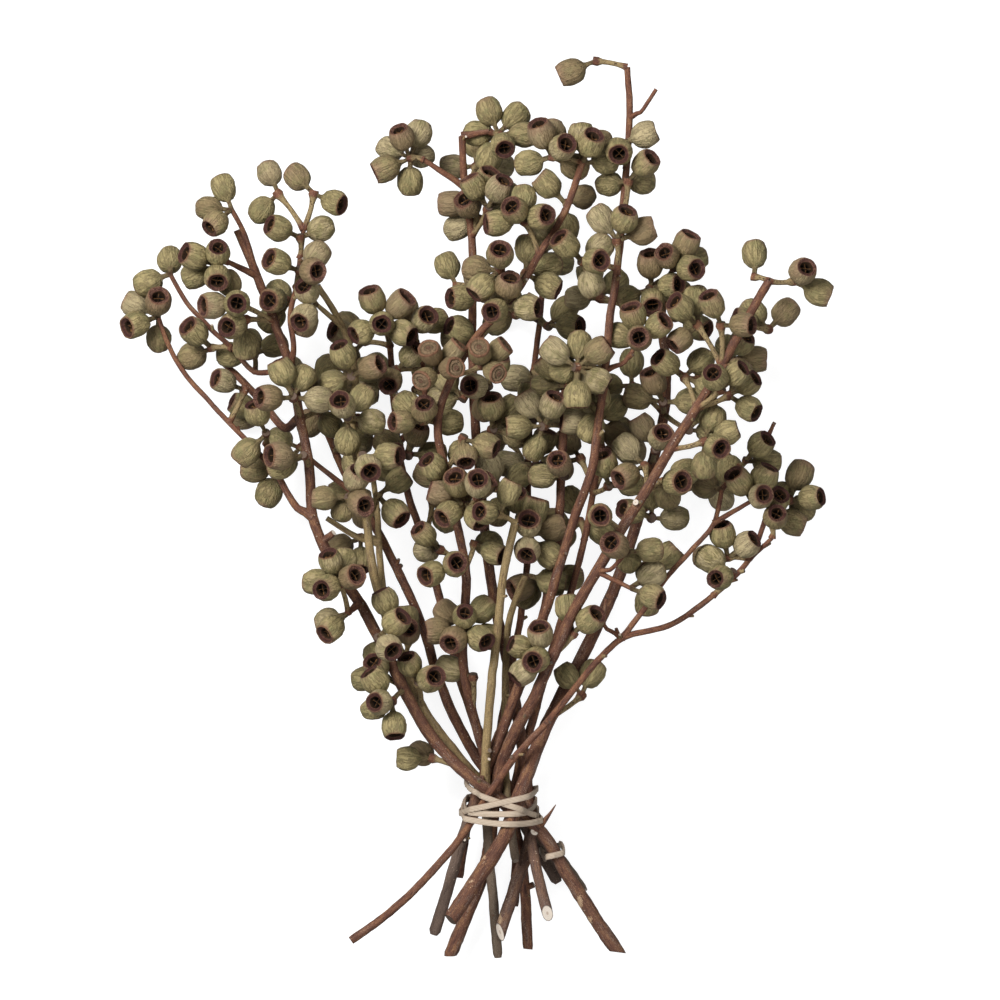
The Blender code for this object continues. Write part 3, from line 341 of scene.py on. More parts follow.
            ((13, -2, 88), "W+ NNE"),
        ),
    ),
    Branch(
        "branch_centre_dark",
        Bark.MAROON,
        (6.0, 4.0),
        ((-3, -188, 22), (0, -172, 24), (4, -160, 25), (9, -147, 26.5), (15, -130, 28.5), (21, -112, 31),
         (27, -92, 34),
         (32, -72, 37), (36, -55, 40), (38.5, -40, 43), (41, -22, 46), (43, -5, 49), (44, 15, 52),
         (45, 30, 54),
         (46, 48, 56), (47, 66, 58)),
        (),
        (
            ((33, -16, 66), "NW++ W++ NE- SE- N-"),
            ((30, -73, 58), "N++ WSW+ WNW- NE+"),
            ((46, 17, 66), "NNW++ W-"),
            ((36, 42, 70), "NNE+ NW- SSW- W"),
            ((48, 62, 62), "NE- NW W-"),
            ((36, -34, 40), "WSW+ E- SW-"),
        ),
    ),
    Branch(
        "branch_right_tall",
        Bark.MAROON,
        (6.0, 3.2),
        ((-19.5, -213, 14), (-12.5, -194, 18), (-6, -174.5, 23), (-3, -164.5, 26), (4, -147, 30),
         (11, -130, 36),
         (19, -108, 43), (27, -82, 51), (34.5, -59.5, 58), (39, -46, 63), (42, -35, 67), (47, -18, 72),
         (51, -4, 76), (59, 15, 81), (62, 38, 86), (66, 64, 90), (68, 90, 92), (71, 110, 92), (74, 130, 90),
         (76, 160, 86), (78.5, 185, 82), (79, 200, 80), (77.5, 221, 77)),
        (
            (2.4, ((68, 64, 91), (73, 70, 93), (78, 76, 94), (84, 85, 95))),
            (2.2, ((79, 188, 82), (84, 198, 84), (88, 203, 85), (92, 210, 85))),
        ),
        (
            ((62, 224, 78), "WSW"),
            ((74, 182, 90), "ENE W- WSW++"),
            ((78, 164, 92), "NE+ W- E--"),
            ((55, 124, 100), "NW+ NE- E++ SSE-"),
            ((72, 134, 96), "NW- NNE+ ENE"),
            ((85, 87, 98), "N+++ NNW+ ENE+ W-"),
            ((53, 70, 100), "NW- N- NE- ESE- W-- S-"),
            ((64, 52, 84), "N+ WNW+ SSW-"),
        ),
    ),
    Branch(
        "branch_right_front",
        Bark.MAROON,
        (7.0, 4.2),
        ((-11, -224.5, 14), (-7, -212, 16), (0, -194, 20), (5, -180, 23), (8, -163, 28), (9, -147, 33),
         (11, -132, 39),
         (15, -118, 44), (23, -103, 51), (32, -87, 58), (40, -69, 65), (48, -53, 71), (57, -38, 76),
         (67.5, -22, 81), (76.5, -6.5, 86), (85.5, 7, 90), (100, 32, 95), (110, 48, 98), (120, 63, 100),
         (129, 80, 101), (139, 99, 100), (143, 106, 99), (148, 114, 98)),
        (
            (2.4, ((62, -36, 78), (69, -30, 84), (77, -21, 90))),
            (2.4, ((60, -38, 76), (68, -40, 80), (79, -39, 84))),
        ),
        (
            ((141, 116, 96), "N- "),
            ((160, 114, 92), "ESE NE++ "),
            ((124, 92, 106), "NNW+ E+ "),
            ((148, 90, 82), "WNW NW- NE-"),
            ((124, 60, 106), "NNW++ NE+ "),
            ((112, 92, 92), "NW+ WSW+ N-"),
            ((128, 57, 92), "ENE+ ESE+ NNE-"),
            ((116, 34, 96), "ENE ESE++ S- NNE-"),
            ((95, 14, 76), "E++ SSE-- ENE-"),
            ((64, -3, 96), "NNE+++"),
            ((77.5, -20, 92), "WNW++ E- SSE--"),
            ((80, -39, 84), "NE- ESE+"),
            ((50, -62, 66), "NNE+ NNW "),
            ((86, 22, 74), "WSW+ NW-"),
            ((106, 66, 88), "NW+ NE- ESE"),
        ),
    ),
    Branch(
        "branch_right_thin",
        Bark.MAROON,
        (4.2, 2.6),
        ((-61, -216.5, 30), (-41.5, -202, 33), (-26.5, -188, 36), (-11.5, -170.5, 39), (0, -156, 42),
         (7, -143, 45),
         (14, -132.5, 48), (23, -121, 51), (36.5, -107, 54), (49.5, -91.5, 57), (60.5, -77, 59),
         (67.5, -69, 60),
         (76.5, -63, 61), (83.5, -62, 61), (92.5, -60.5, 61), (103.5, -55.5, 60), (112, -50.5, 59),
         (121, -42.5, 57), (130, -33.5, 55), (139, -24.5, 53), (146, -13, 52), (148, -1, 51)),
        (
            (2.8, ((79, -62, 61), (90, -43, 63), (99.5, -30.5, 64), (112, -17.5, 64), (121, -6.5, 63),
                   (125, 10, 62))),
            (2.4, ((122, -5, 63), (129, -2, 64), (134, 0, 65), (140, 4.5, 65))),
            (2.0, ((66, -70, 60), (66, -58, 64), (67, -44, 68))),
            (2.2, ((141, -22, 53), (146, -20, 56), (150, -14, 60))),
            (2.0, ((125, 10, 62), (134, 22, 59), (145, 32, 57), (151, 44, 57))),
        ),
        (
            ((140, 4.5, 66), "NNW+ NNE+ ENE++"),
            ((126, 12, 60), "NNE- NW-- "),
            ((136, 24, 62), "NE+ E-"),
            ((150, -8, 62), "N++ "),
            ((148, 1, 52), "NE++ ENE- ESE-"),
            ((158, 6, 48), "E+ NNE- SE--"),
            ((130, -31, 64), "WSW++ NW- "),
            ((128, -24, 54), "NNW+ NE+ W-"),
            ((56, -92, 48), "NW- NNE-"),
        ),
    ),
    Branch(
        "branch_right_thick",
        Bark.MAROON,
        (8.0, 4.2),
        ((-12.5, -206, 46), (-4, -192, 45), (6, -176.5, 44), (14, -162.5, 43), (19, -150, 41),
         (24, -134.5, 39),
         (30, -120, 37), (37, -105, 35), (47, -87, 33), (57, -69, 31), (68, -47, 29), (74.5, -33.5, 28),
         (80, -15, 28), (86, 5, 29), (91, 25, 31), (96, 45, 34), (98, 65, 39), (96, 85, 46),
         (94, 102, 56), (98, 116, 66)),
        (
            (3.0, ((98, 62, 37), (112, 66, 28), (124, 72, 20))),
            (3.0, ((86, 4, 29), (100, 8, 22), (114, 12, 17))),
        ),
        (
            ((88, -33, 50), "ESE++ NE S-"),
            ((90, -4, 56), "E- WNW+ N-"),
            ((95, 54, 68), "NNW+ W- E"),
            ((92, 30, 62), "NNE++ NW"),
            ((101, 121, 82), "NNW++ NNE+ E++ ENE-"),
            ((89, 111, 74), "N+ E+ SSE++ WSW E-"),
            ((102, 96, 60), "N- NE ESE+"),
            ((128, 76, 17), "NE+ E N--."),
            ((118, 13, 14), "ENE SE-. NE"),
            ((108, 40, 60), "NE E- "),
            ((80, 62, 40), "N- W-"),
            ((64, 106, 50), "NNW W- NE-"),
        ),
    ),
    Branch(
        "branch_right_inner",
        Bark.MAROON,
        (5.0, 3.0),
        ((22, -198, 4), (23, -180, 9), (21, -162, 16), (19, -147, 20), (21, -132, 23), (27, -112, 27),
         (33, -91, 31),
         (38.5, -72, 35), (44.5, -54, 39), (49, -41, 42), (54, -26, 45), (58, -6.5, 49), (60, 5, 51),
         (63, 18, 54),
         (65, 32, 58)),
        (),
        (
            ((63, 44, 64), "N+ NW- W ESE- ENE-"),
            ((54, -6, 36), "NNW- SW- W+ ESE-"),
            ((68, 12, 66), "N+ E-"),
            ((54, 26, 40), "NW- W+"),
            ((68, 30, 14), "NE E-."),
        ),
    ),
    Branch(
        "branch_olive_short",
        Bark.OLIVE,
        (4.4, 3.2),
        ((18, -176, 38), (17, -160, 36), (14.5, -147, 33), (14, -128, 35), (15, -102, 40), (16.5, -76, 46),
         (19, -54, 52), (27.5, -33, 57)),
        (),
        (
            ((28, -31, 57), "ESE-"),
        ),
    ),
)

# Each turn of a band: its middle along Y, what it gains at the right and what it gains at the top
MAIN_STRANDS = (
    (-147.2, 0.2, -5.0),
    (-144.7, -9.0, -1.8),
    (-150.5, -1.5, -6.5),
    (-145.7, 6.2, -0.8),
)
SMALL_STRANDS = ((-171.1, 3.1, -2.0),)
SMALL_BAND_BRANCHES = ("branch_left_main", "branch_left_grey")


class Term:
    """A node socket that can stand in an expression: each operator adds the Math node that it needs."""

    def __init__(self, graph: "Graph", socket: bpy.types.NodeSocket) -> None:
        """Keeps the socket and the graph that it is in."""
        self.graph = graph
        self.socket = socket

    def __add__(self, other: "Term | float") -> "Term":
        """self + other."""
        return self.graph.math("ADD", self, other)

    def __radd__(self, other: float) -> "Term":
        """other + self."""
        return self.graph.math("ADD", other, self)

    def __sub__(self, other: "Term | float") -> "Term":
        """self - other."""
        return self.graph.math("SUBTRACT", self, other)

    def __rsub__(self, other: float) -> "Term":
        """other - self."""
        return self.graph.math("SUBTRACT", other, self)

    def __mul__(self, other: "Term | float") -> "Term":
        """self * other."""
        return self.graph.math("MULTIPLY", self, other)

    def __rmul__(self, other: float) -> "Term":
        """other * self."""
        return self.graph.math("MULTIPLY", other, self)

    def __truediv__(self, other: "Term | float") -> "Term":
        """self / other."""
        return self.graph.math("DIVIDE", self, other)

    def __pow__(self, other: "Term | float") -> "Term":
        """self to the power of other."""
        return self.graph.math("POWER", self, other)


class Graph:
    """A node tree under construction."""

    def __init__(self, tree: bpy.types.NodeTree) -> None:
        """Starts on a tree that is made already."""
        self.tree = tree

    @staticmethod
    def _pick(sockets: Any, key: str | int) -> bpy.types.NodeSocket:
        """The socket at a place, or the first that has this identifier or, if none has, this name."""
        if isinstance(key, int):
            return sockets[key]
        by_identifier = [socket for socket in sockets if socket.identifier == key]
        return (by_identifier or [socket for socket in sockets if socket.name == key])[0]

    def make(self, kind: str, settings: dict[str, Any], values: dict[str | int, Any], output: str | int = 0) -> Term:
        """Adds one node.

        Args:
            kind: The node's type.
            settings: Its settings, which are set first. "stops" are a colour ramp's places and colours.
            values: What each input holds, as a Term to link or a value to set.
            output: The output to return.

        Returns:
            The chosen output.
        """
        node = self.tree.nodes.new(kind)
        for name, value in settings.items():
            if name == "stops":
                self._set_stops(node.color_ramp, value)
            else:
                setattr(node, name, value)
        for key, value in values.items():
            socket = self._pick(node.inputs, key)
            if isinstance(value, Term):
                self.tree.links.new(value.socket, socket)
            else:
                socket.default_value = value
        return Term(self, self._pick(node.outputs, output))

    @staticmethod
    def _set_stops(ramp: bpy.types.ColorRamp, stops: Sequence[tuple[float, Colour]]) -> None:
        """Gives a ramp these places and colours."""
        while len(ramp.elements) < len(stops):
            ramp.elements.new(1.0)
        for element, (place, colour) in zip(ramp.elements, stops):
            element.position = place
            element.color = (*colour, 1.0)

    def math(self, operation: str, *terms: "Term | float") -> Term:
        """One Math node."""
        return self.make("ShaderNodeMath", {"operation": operation}, dict(enumerate(terms)))

    def vector_math(self, operation: str, *terms: Any) -> Term:
        """One Vector Math node whose result is a vector."""
        return self.make("ShaderNodeVectorMath", {"operation": operation}, dict(enumerate(terms)), "Vector")

    def scaled(self, vector: Any, by: "Term | float") -> Term:
        """A vector times a number."""
        return self.make("ShaderNodeVectorMath", {"operation": "SCALE"}, {0: vector, "Scale": by}, "Vector")

    def combine(self, x: "Term | float", y: "Term | float", z: "Term | float") -> Term:
        """A vector from three numbers."""
        return self.make("ShaderNodeCombineXYZ", {}, {"X": x, "Y": y, "Z": z})

    def split(self, vector: Term) -> tuple[Term, Term, Term]:
        """A vector's three numbers."""
        first = self.make("ShaderNodeSeparateXYZ", {}, {"Vector": vector})
        sockets = first.socket.node.outputs
        return Term(self, sockets["X"]), Term(self, sockets["Y"]), Term(self, sockets["Z"])

    def noise(self, vector: Term, scale: float, detail: float = 2.0, rough: float = 0.5, output: str = "Fac") -> Term:
        """Noise about 0.5 at a vector."""
        values = {"Vector": vector, "Scale": scale, "Detail": detail, "Roughness": rough}
        return self.make("ShaderNodeTexNoise", {"noise_dimensions": "3D"}, values, output)

    def between(self, value: Term, low: float, high: float) -> Term:
        """0 below low, 1 above high and a smooth step between them. The limits may be the other way round."""
        settings = {"data_type": "FLOAT", "interpolation_type": "SMOOTHSTEP"}
        if low < high:
            return self.make("ShaderNodeMapRange", settings, {"Value": value, "From Min": low, "From Max": high})
        return 1 - self.between(value, high, low)

    def mix(self, first: Any, second: Any, share: "Term | float", blend: str = "MIX") -> Term:
        """A colour between two colours."""
        settings = {"data_type": "RGBA", "blend_type": blend}
        values = {"A_Color": self._rgba(first), "B_Color": self._rgba(second), "Factor_Float": share}
        return self.make("ShaderNodeMix", settings, values, "Result_Color")

    @staticmethod
    def _rgba(colour: Any) -> Any:
        """A colour as a socket takes it."""
        return colour if isinstance(colour, Term) else (*colour, 1.0)


class Surface(Graph):
    """A material's node tree, built round one Principled shader."""

    def __init__(self, name: str) -> None:
        """Makes the material."""
        self.material = bpy.data.materials.new(name)
        self.material.use_nodes = True
        super().__init__(self.material.node_tree)
        self.shader = self.tree.nodes["Principled BSDF"]

    def attribute(self, name: str, output: str = "Fac") -> Term:
        """A value that the mesh carries."""
        settings = {"attribute_name": name, "attribute_type": "GEOMETRY"}
        return self.make("ShaderNodeAttribute", settings, {}, output)

    def dress(self, constants: dict[str, float], **links: Term) -> bpy.types.Material:
        """Sets the shader.

        Args:
            constants: Values of the shader's own sockets.
            links: The varying ones: colour, roughness and bump.

        Returns:
            The material.
        """
        for name, value in constants.items():
            self.shader.inputs[name].default_value = value
        for name, key in (("colour", "Base Color"), ("roughness", "Roughness"), ("normal", "Normal")):
            if name in links:
                self.tree.links.new(links[name].socket, self.shader.inputs[key])
        return self.material

    def bump(self, height: Term, depth: float, strength: float = 1.0) -> Term:
        """A normal from a height between 0 and 1, with its depth in metres."""
        values = {"Height": height, "Distance": depth, "Strength": strength}
        return self.make("ShaderNodeBump", {}, values)


class PieceTree(Graph):
    """A Geometry Nodes tree with named inputs."""

    KINDS = {"Geometry": "NodeSocketGeometry", "Material": "NodeSocketMaterial", "Forms": "NodeSocketCollection"}

    def __init__(self, name: str, inputs: Iterable[str]) -> None:
        """Makes the tree. An input that isn't one of the known kinds is a number."""
        super().__init__(bpy.data.node_groups.new(name, "GeometryNodeTree"))
        for label in ("Geometry", *inputs, "Material"):
            kind = self.KINDS.get(label, "NodeSocketFloat")
            self.tree.interface.new_socket(label, in_out="INPUT", socket_type=kind)
        self.tree.interface.new_socket("Geometry", in_out="OUTPUT", socket_type="NodeSocketGeometry")
        self.entry = self.tree.nodes.new("NodeGroupInput")

    def given(self, name: str) -> Term:
        """One of the tree's inputs."""
        return Term(self, self.entry.outputs[name])

    def named(self, name: str, kind: str = "FLOAT") -> Term:
        """An attribute of the geometry."""
        return self.make("GeometryNodeInputNamedAttribute", {"data_type": kind}, {"Name": name}, "Attribute")

    def store(self, geometry: Term, name: str, value: Any, kind: str = "FLOAT") -> Term:
        """The geometry with one more attribute on its points."""
        settings = {"data_type": kind, "domain": "POINT"}
        values = {"Geometry": geometry, "Name": name, "Value": value}
        return self.make("GeometryNodeStoreNamedAttribute", settings, values)

    def shift(self, geometry: Term, offset: Term) -> Term:
        """The geometry with its points moved by an offset."""
        return self.make("GeometryNodeSetPosition", {}, {"Geometry": geometry, "Offset": offset})

    def above_floor(self, geometry: Term) -> Term:
        """The geometry with nothing below the surface that the bunch lies on."""
        x, y, z = self.split(self.make("GeometryNodeInputPosition", {}, {}))
        spot = self.combine(x, y, self.math("MAXIMUM", z, 0.0))
        return self.make("GeometryNodeSetPosition", {}, {"Geometry": geometry, "Position": spot})

    def close(self, geometry: Term) -> None:
        """Ends the tree with real, smooth and dressed geometry."""
        real = self.make("GeometryNodeRealizeInstances", {}, {"Geometry": geometry})
        smooth = self.make("GeometryNodeSetShadeSmooth", {}, {"Geometry": real, "Shade Smooth": True})
        values = {"Geometry": smooth, "Material": self.given("Material")}
        dressed = self.make("GeometryNodeSetMaterial", {}, values)
        exit_node = self.tree.nodes.new("NodeGroupOutput")
        self.tree.links.new(dressed.socket, exit_node.inputs["Geometry"])

    def mesh_from(self, base: bpy.types.Object, values: dict[str, Any]) -> bpy.types.Mesh:
        """Runs the tree.

        Args:
            base: The object that it runs on, which is removed.
            values: What each named input is set to.

        Returns:
            The plain mesh that comes out.
        """
        modifier = base.modifiers.new(self.tree.name, "NODES")
        modifier.node_group = self.tree
        for item in self.tree.interface.items_tree:
            if item.in_out == "INPUT" and item.name in values:
                modifier[item.identifier] = values[item.name]
        graph = bpy.context.evaluated_depsgraph_get()
        ready = base.evaluated_get(graph)
        mesh = bpy.data.meshes.new_from_object(ready, preserve_all_data_layers=True, depsgraph=graph)
        base.modifiers.remove(modifier)
        spare = base.data
        bpy.data.objects.remove(base)
        bpy.data.meshes.remove(spare)
        return mesh


def placed(name: str, mesh: bpy.types.Mesh) -> bpy.types.Object:
    """An object of this mesh in the scene."""
    made = bpy.data.objects.new(name, mesh)
    bpy.context.scene.collection.objects.link(made)
    return made


def plain_mesh(name: str, points: np.ndarray, edges: Sequence, faces: Sequence) -> bpy.types.Mesh:
    """A mesh from points in metres."""
    mesh = bpy.data.meshes.new(name)
    mesh.from_pydata([tuple(point) for point in points], edges, faces)
    mesh.update()
    return mesh


def give(mesh: bpy.types.Mesh, name: str, kind: str, values: Sequence) -> None:
    """Puts an attribute on a mesh's points."""
    attribute = mesh.attributes.new(name, kind, "POINT")
    key = "vector" if kind == "FLOAT_VECTOR" else "value"
    attribute.data.foreach_set(key, np.array(values, int if kind == "INT" else np.float32).reshape(-1))


def mouth_direction(token: str) -> np.ndarray:
    """The way a nut looks, for a token such as NW++."""
    lift = math.radians(30 * (token.count("+") - token.count("-")))
    bearing = math.radians(90 - 22.5 * COMPASS.index(token.rstrip("+-.=")))
    return np.array((math.cos(lift) * math.cos(bearing), math.cos(lift) * math.sin(bearing), math.sin(lift)))


def evenly(route: Sequence[Sequence[float]], step: float) -> np.ndarray:
    """Points about a step apart along a route, its ends among them."""
    route = np.array(route, float)
    along = np.concatenate(([0], np.cumsum(np.linalg.norm(np.diff(route, axis=0), axis=1))))
    wanted = np.linspace(0, along[-1], max(2, round(along[-1] / step) + 1))
    return np.stack([np.interp(wanted, along, route[:, axis]) for axis in range(3)], axis=1)


@dataclass
class Nut:
    """One nut of the skeleton: its branch, the points of its hub and its middle, its size and its token."""

    branch: int
    hub: int
    middle: int
    size: float
    token: str


@dataclass
class Skeleton:
    """The bunch as points, the wood that joins them, and a ball for each nut."""

    points: list = field(default_factory=list)
    radii: list = field(default_factory=list)
    mobility: list = field(default_factory=list)
    hold: list = field(default_factory=list)
    floor: list = field(default_factory=list)
    resting: list = field(default_factory=list)
    wood: list = field(default_factory=list)
    runs: list = field(default_factory=list)
    stalks: list = field(default_factory=list)
    nuts: list[Nut] = field(default_factory=list)
    bends: list = field(default_factory=list)

    def add(self, point: Sequence[float], radius: float, mobility: float, hold: tuple[float, float]) -> int:
        """Adds a point, and returns its number."""
        self.points.append(np.array(point, float))
        self.radii.append(radius)
        self.mobility.append(mobility)
        self.hold.append(hold)
        self.floor.append(radius)
        return len(self.points) - 1

    def run(self, branch: int, points: np.ndarray, widths: Sequence[float], start: int | None, mobility: float) -> list:
        """Adds one tapered length of wood.

        Args:
            branch: The branch that it belongs to.
            points: The places along it.
            widths: Its thickness at its two ends.
            start: The point that it grows from, if there is one.
            mobility: How easily its points are pushed.

        Returns:
            The numbers of its points.
        """
        radii = np.linspace(widths[0] / 2, widths[1] / 2, len(points))
        ids = []
        for place, (point, radius) in enumerate(zip(points, radii)):
            if place == 0 and start is not None:
                ids.append(start)
            else:
                ids.append(self.add(point, radius, mobility, (0.10, 0.05)))
        for place, (first, second) in enumerate(zip(ids, ids[1:])):
            self.wood.append((first, second, (radii[place] + radii[place + 1]) / 2, branch))
        self.bends.extend(zip(ids, ids[1:], ids[2:]))
        self.runs.append((branch, tuple(ids), tuple(radii)))
        return ids

    def nearest(self, ids: Sequence[int], point: np.ndarray) -> int:
        """The one of these points that is nearest to a place."""
        place = np.array([self.points[i] for i in ids])
        return ids[int(np.argmin(np.linalg.norm(place - point, axis=1)))]

    def umbel(self, branch: int, wood: Sequence[int], hub: Sequence[float], tokens: str, draw: random.Random) -> None:
        """Adds a stalk from the branch to the hub, and the hub's nuts."""
        hub = np.array(hub, float)
        root = self.nearest(wood, hub - np.array((0, 7, 0)))
        if np.linalg.norm(self.points[root] - hub) < 4:
            middle = root
        else:
            middle = self.add(hub, STALK_HUB_RADIUS, 0.8, (0.06, 0.04))
            self.wood.append((root, middle, STALK_HUB_RADIUS, branch))
            self.stalks.append((branch, root, middle))
        for token in tokens.split():
            size = draw.uniform(SMALLEST_NUT, LARGEST_NUT)
            way = mouth_direction(token)
            nut = self.add(hub + way * NUT_REACH * size, NUT_BOUND * size, 1.0, (0.05, 0.02))
            self.floor[nut] = NUT_RADIUS * size
            if token.endswith("."):
                self.points[nut][2] = NUT_RADIUS * size - REST_DEPTH
                self.floor[nut] -= REST_DEPTH
                self.resting.append(nut)
            self.nuts.append(Nut(branch, middle, nut, size, token))


def grown(branches: Sequence[Branch]) -> Skeleton:
    """The skeleton of every branch, as first laid out."""
    bones = Skeleton()
    draw = random.Random(SEED)
    for number, branch in enumerate(branches):
        wood = list(bones.run(number, evenly(branch.route, STEM_STEP), branch.widths, None, 0.25))
        for width, route in branch.twigs:
            points = evenly(route, TWIG_STEP)
            start = bones.nearest(wood, points[0])
            wood.extend(bones.run(number, points, (width, width * TIP_SHARE + 0.8), start, 0.5)[1:])
        for hub, tokens in branch.umbels:
            bones.umbel(number, wood, hub, tokens, draw)
    return bones


def nearest_between(first: np.ndarray, second: np.ndarray, starts: np.ndarray, ends: np.ndarray) -> tuple:
    """How far along each of two sets of segments they come closest, and the step between those places."""
    a0 = starts[first]
    b0 = starts[second]
    a_way = ends[first] - a0
    b_way = ends[second] - b0
    apart = a0 - b0
    aa = np.maximum((a_way * a_way).sum(1), 1e-9)
    bb = np.maximum((b_way * b_way).sum(1), 1e-9)
    ab = (a_way * b_way).sum(1)
    a_apart = (a_way * apart).sum(1)
    b_apart = (b_way * apart).sum(1)
    spread = np.maximum(aa * bb - ab * ab, 1e-9)
    s = np.clip((ab * b_apart - bb * a_apart) / spread, 0, 1)
    t = np.clip((ab * s + b_apart) / bb, 0, 1)
    s = np.clip((ab * t - a_apart) / aa, 0, 1)
    return s, t, (a0 + a_way * s[:, None]) - (b0 + b_way * t[:, None])


class Settling:
    """Moves the skeleton's points until no branch crosses another and nothing is under the floor."""

    def __init__(self, bones: Skeleton) -> None:
        """Takes the skeleton's shapes as segments with a reach, and as balls."""
        self.bones = bones
        self.at = np.array(bones.points)
        self.home = self.at.copy()
        self.shift = np.zeros(3)
        self.mobility = np.array(bones.mobility)
        self.hold = np.array(bones.hold)
        self.floor = np.array(bones.floor)
        necks = [(nut.hub, nut.middle, NECK_RADIUS, nut.branch) for nut in bones.nuts]
        balls = [(nut.middle, nut.middle, bones.radii[nut.middle], nut.branch) for nut in bones.nuts]
        sticks = bones.wood + necks
        self.links = np.array([stick[:2] for stick in sticks])
        self.lengths = np.linalg.norm(self.at[self.links[:, 0]] - self.at[self.links[:, 1]], axis=1)
        for place, nut in enumerate(bones.nuts):
            self.lengths[len(bones.wood) + place] = NUT_REACH * nut.size
        shapes = sticks + balls
        self.ends = np.array([shape[:2] for shape in shapes])
        self.reach = np.array([shape[2] for shape in shapes])
        self.branch = np.array([shape[3] for shape in shapes])
        self.is_ball = np.arange(len(shapes)) >= len(sticks)
        self.is_neck = (np.arange(len(shapes)) >= len(bones.wood)) & ~self.is_ball
        bends = np.array(bones.bends)
        self.bends = bends
        self.bow = self.at[bends[:, 1]] - (self.at[bends[:, 0]] + self.at[bends[:, 2]]) / 2

    def pairs(self, margin: float) -> tuple:
        """Each two shapes near enough to touch, with the least step that they keep."""
        starts = self.at[self.ends[:, 0]]
        ends = self.at[self.ends[:, 1]]
        middles = (starts + ends) / 2
        size = np.linalg.norm(ends - starts, axis=1) / 2 + self.reach
        steps = np.linalg.norm(middles[:, None, :] - middles[None, :, :], axis=2)
        near = np.triu(steps < size[:, None] + size[None, :] + margin, 1)
        first, second = np.nonzero(near)
        own = self.branch[first] == self.branch[second]
        a = self.ends[first]
        b = self.ends[second]
        shared = (a[:, :1] == b).any(1) | (a[:, 1:] == b).any(1)
        ball_pair = self.is_ball[first] | self.is_ball[second]
        neck_pair = self.is_neck[first] | self.is_neck[second]
        keep = ~shared & (~own | (ball_pair & ~neck_pair))
        first, second, own = first[keep], second[keep], own[keep]
        gap = np.where(own, -0.3, BRANCH_GAP)
        return first, second, self.reach[first] + self.reach[second] + gap, own

    def clear(self, first: np.ndarray, second: np.ndarray, least: np.ndarray) -> None:
        """Pushes apart what is too near."""
        starts = self.at[self.ends[:, 0]]
        ends = self.at[self.ends[:, 1]]
        s, t, step = nearest_between(first, second, starts, ends)
        far = np.linalg.norm(step, axis=1)
        deep = far < least
        first, second, s, t = first[deep], second[deep], s[deep], t[deep]
        if not len(first):
            return
        away = step[deep] / np.maximum(far[deep], 1e-6)[:, None]
        short = least[deep] - far[deep]
        corners = np.concatenate((self.ends[first], self.ends[second]), 1)
        shares = np.stack((1 - s, s, t - 1, -t), 1)
        weights = self.mobility[corners] * shares
        total = np.maximum((weights * shares).sum(1), 1e-6)
        moves = (weights * (short / total)[:, None])[:, :, None] * away[:, None, :]
        self.spread(corners, moves, np.abs(shares) > 0.05)

    def spread(self, corners: np.ndarray, moves: np.ndarray, counted: np.ndarray) -> None:
        """Adds each point's moves, averaged a little where it has several."""
        total = np.zeros_like(self.at)
        count = np.zeros(len(self.at))
        np.add.at(total, corners.reshape(-1), moves.reshape(-1, 3))
        np.add.at(count, corners.reshape(-1), counted.reshape(-1))
        self.at += total / np.maximum(count, 1)[:, None] ** 0.75

    def keep_lengths(self) -> None:
        """Pulls each length of wood towards the length that it had."""
        i, j = self.links.T
        step = self.at[i] - self.at[j]
        far = np.maximum(np.linalg.norm(step, axis=1), 1e-6)
        total = self.mobility[i] + self.mobility[j]
        pull = (step / far[:, None]) * ((far - self.lengths) / total)[:, None]
        moves = np.stack((-pull * self.mobility[i][:, None], pull * self.mobility[j][:, None]), 1)
        self.spread(self.links, moves, np.ones(self.links.shape))

    def keep_bends(self) -> None:
        """Pulls each bend towards the bow that it had."""
        i, j, k = self.bends.T
        wanted = (self.at[i] + self.at[k]) / 2 + self.bow
        move = (wanted - self.at[j]) * 0.2
        moves = np.stack((-move / 2, move, -move / 2), 1)
        self.spread(self.bends, moves, np.ones(self.bends.shape))

    def run(self) -> None:
        """Settles the bunch."""
        for turn in range(SETTLE_ROUNDS):
            if turn % SEARCH_EVERY == 0:
                first, second, least, _ = self.pairs(SEARCH_MARGIN)
            ease = max(0.0, 1 - turn / (0.8 * SETTLE_ROUNDS))
            home = (self.home - self.at) * ease
            self.at[:, :2] += home[:, :2] * self.hold[:, :1]
            self.at[:, 2] += home[:, 2] * self.hold[:, 1]
            self.keep_bends()
            self.keep_lengths()
            self.clear(first, second, least)
            self.at[:, 2] = np.maximum(self.at[:, 2], self.floor)
            self.at[self.bones.resting, 2] = self.home[self.bones.resting, 2]
        self.centre()

    def centre(self) -> None:
        """Puts the middle of the bunch over the origin."""
        reach = np.array(self.bones.radii)
        low = (self.at - reach[:, None]).min(0)
        high = (self.at + reach[:, None]).max(0)
        self.shift = -(low + high) / 2
        self.at[:, :2] += self.shift[:2]

    def crossing_nuts(self) -> set[int]:
        """The nuts that still come too near another branch."""
        first, second, least, own = self.pairs(2.0)
        starts = self.at[self.ends[:, 0]]
        ends = self.at[self.ends[:, 1]]
        _, _, step = nearest_between(first, second, starts, ends)
        short = least - np.linalg.norm(step, axis=1)
        bad = (short > BRANCH_GAP - SMALLEST_GAP) & ~own
        dropped = set()
        for pair in zip(first[bad], second[bad]):
            nuts = [int(self.ends[shape, 1]) for shape in pair if self.is_ball[shape] or self.is_neck[shape]]
            if nuts and not dropped.intersection(nuts):
                dropped.add(nuts[0])
        return dropped


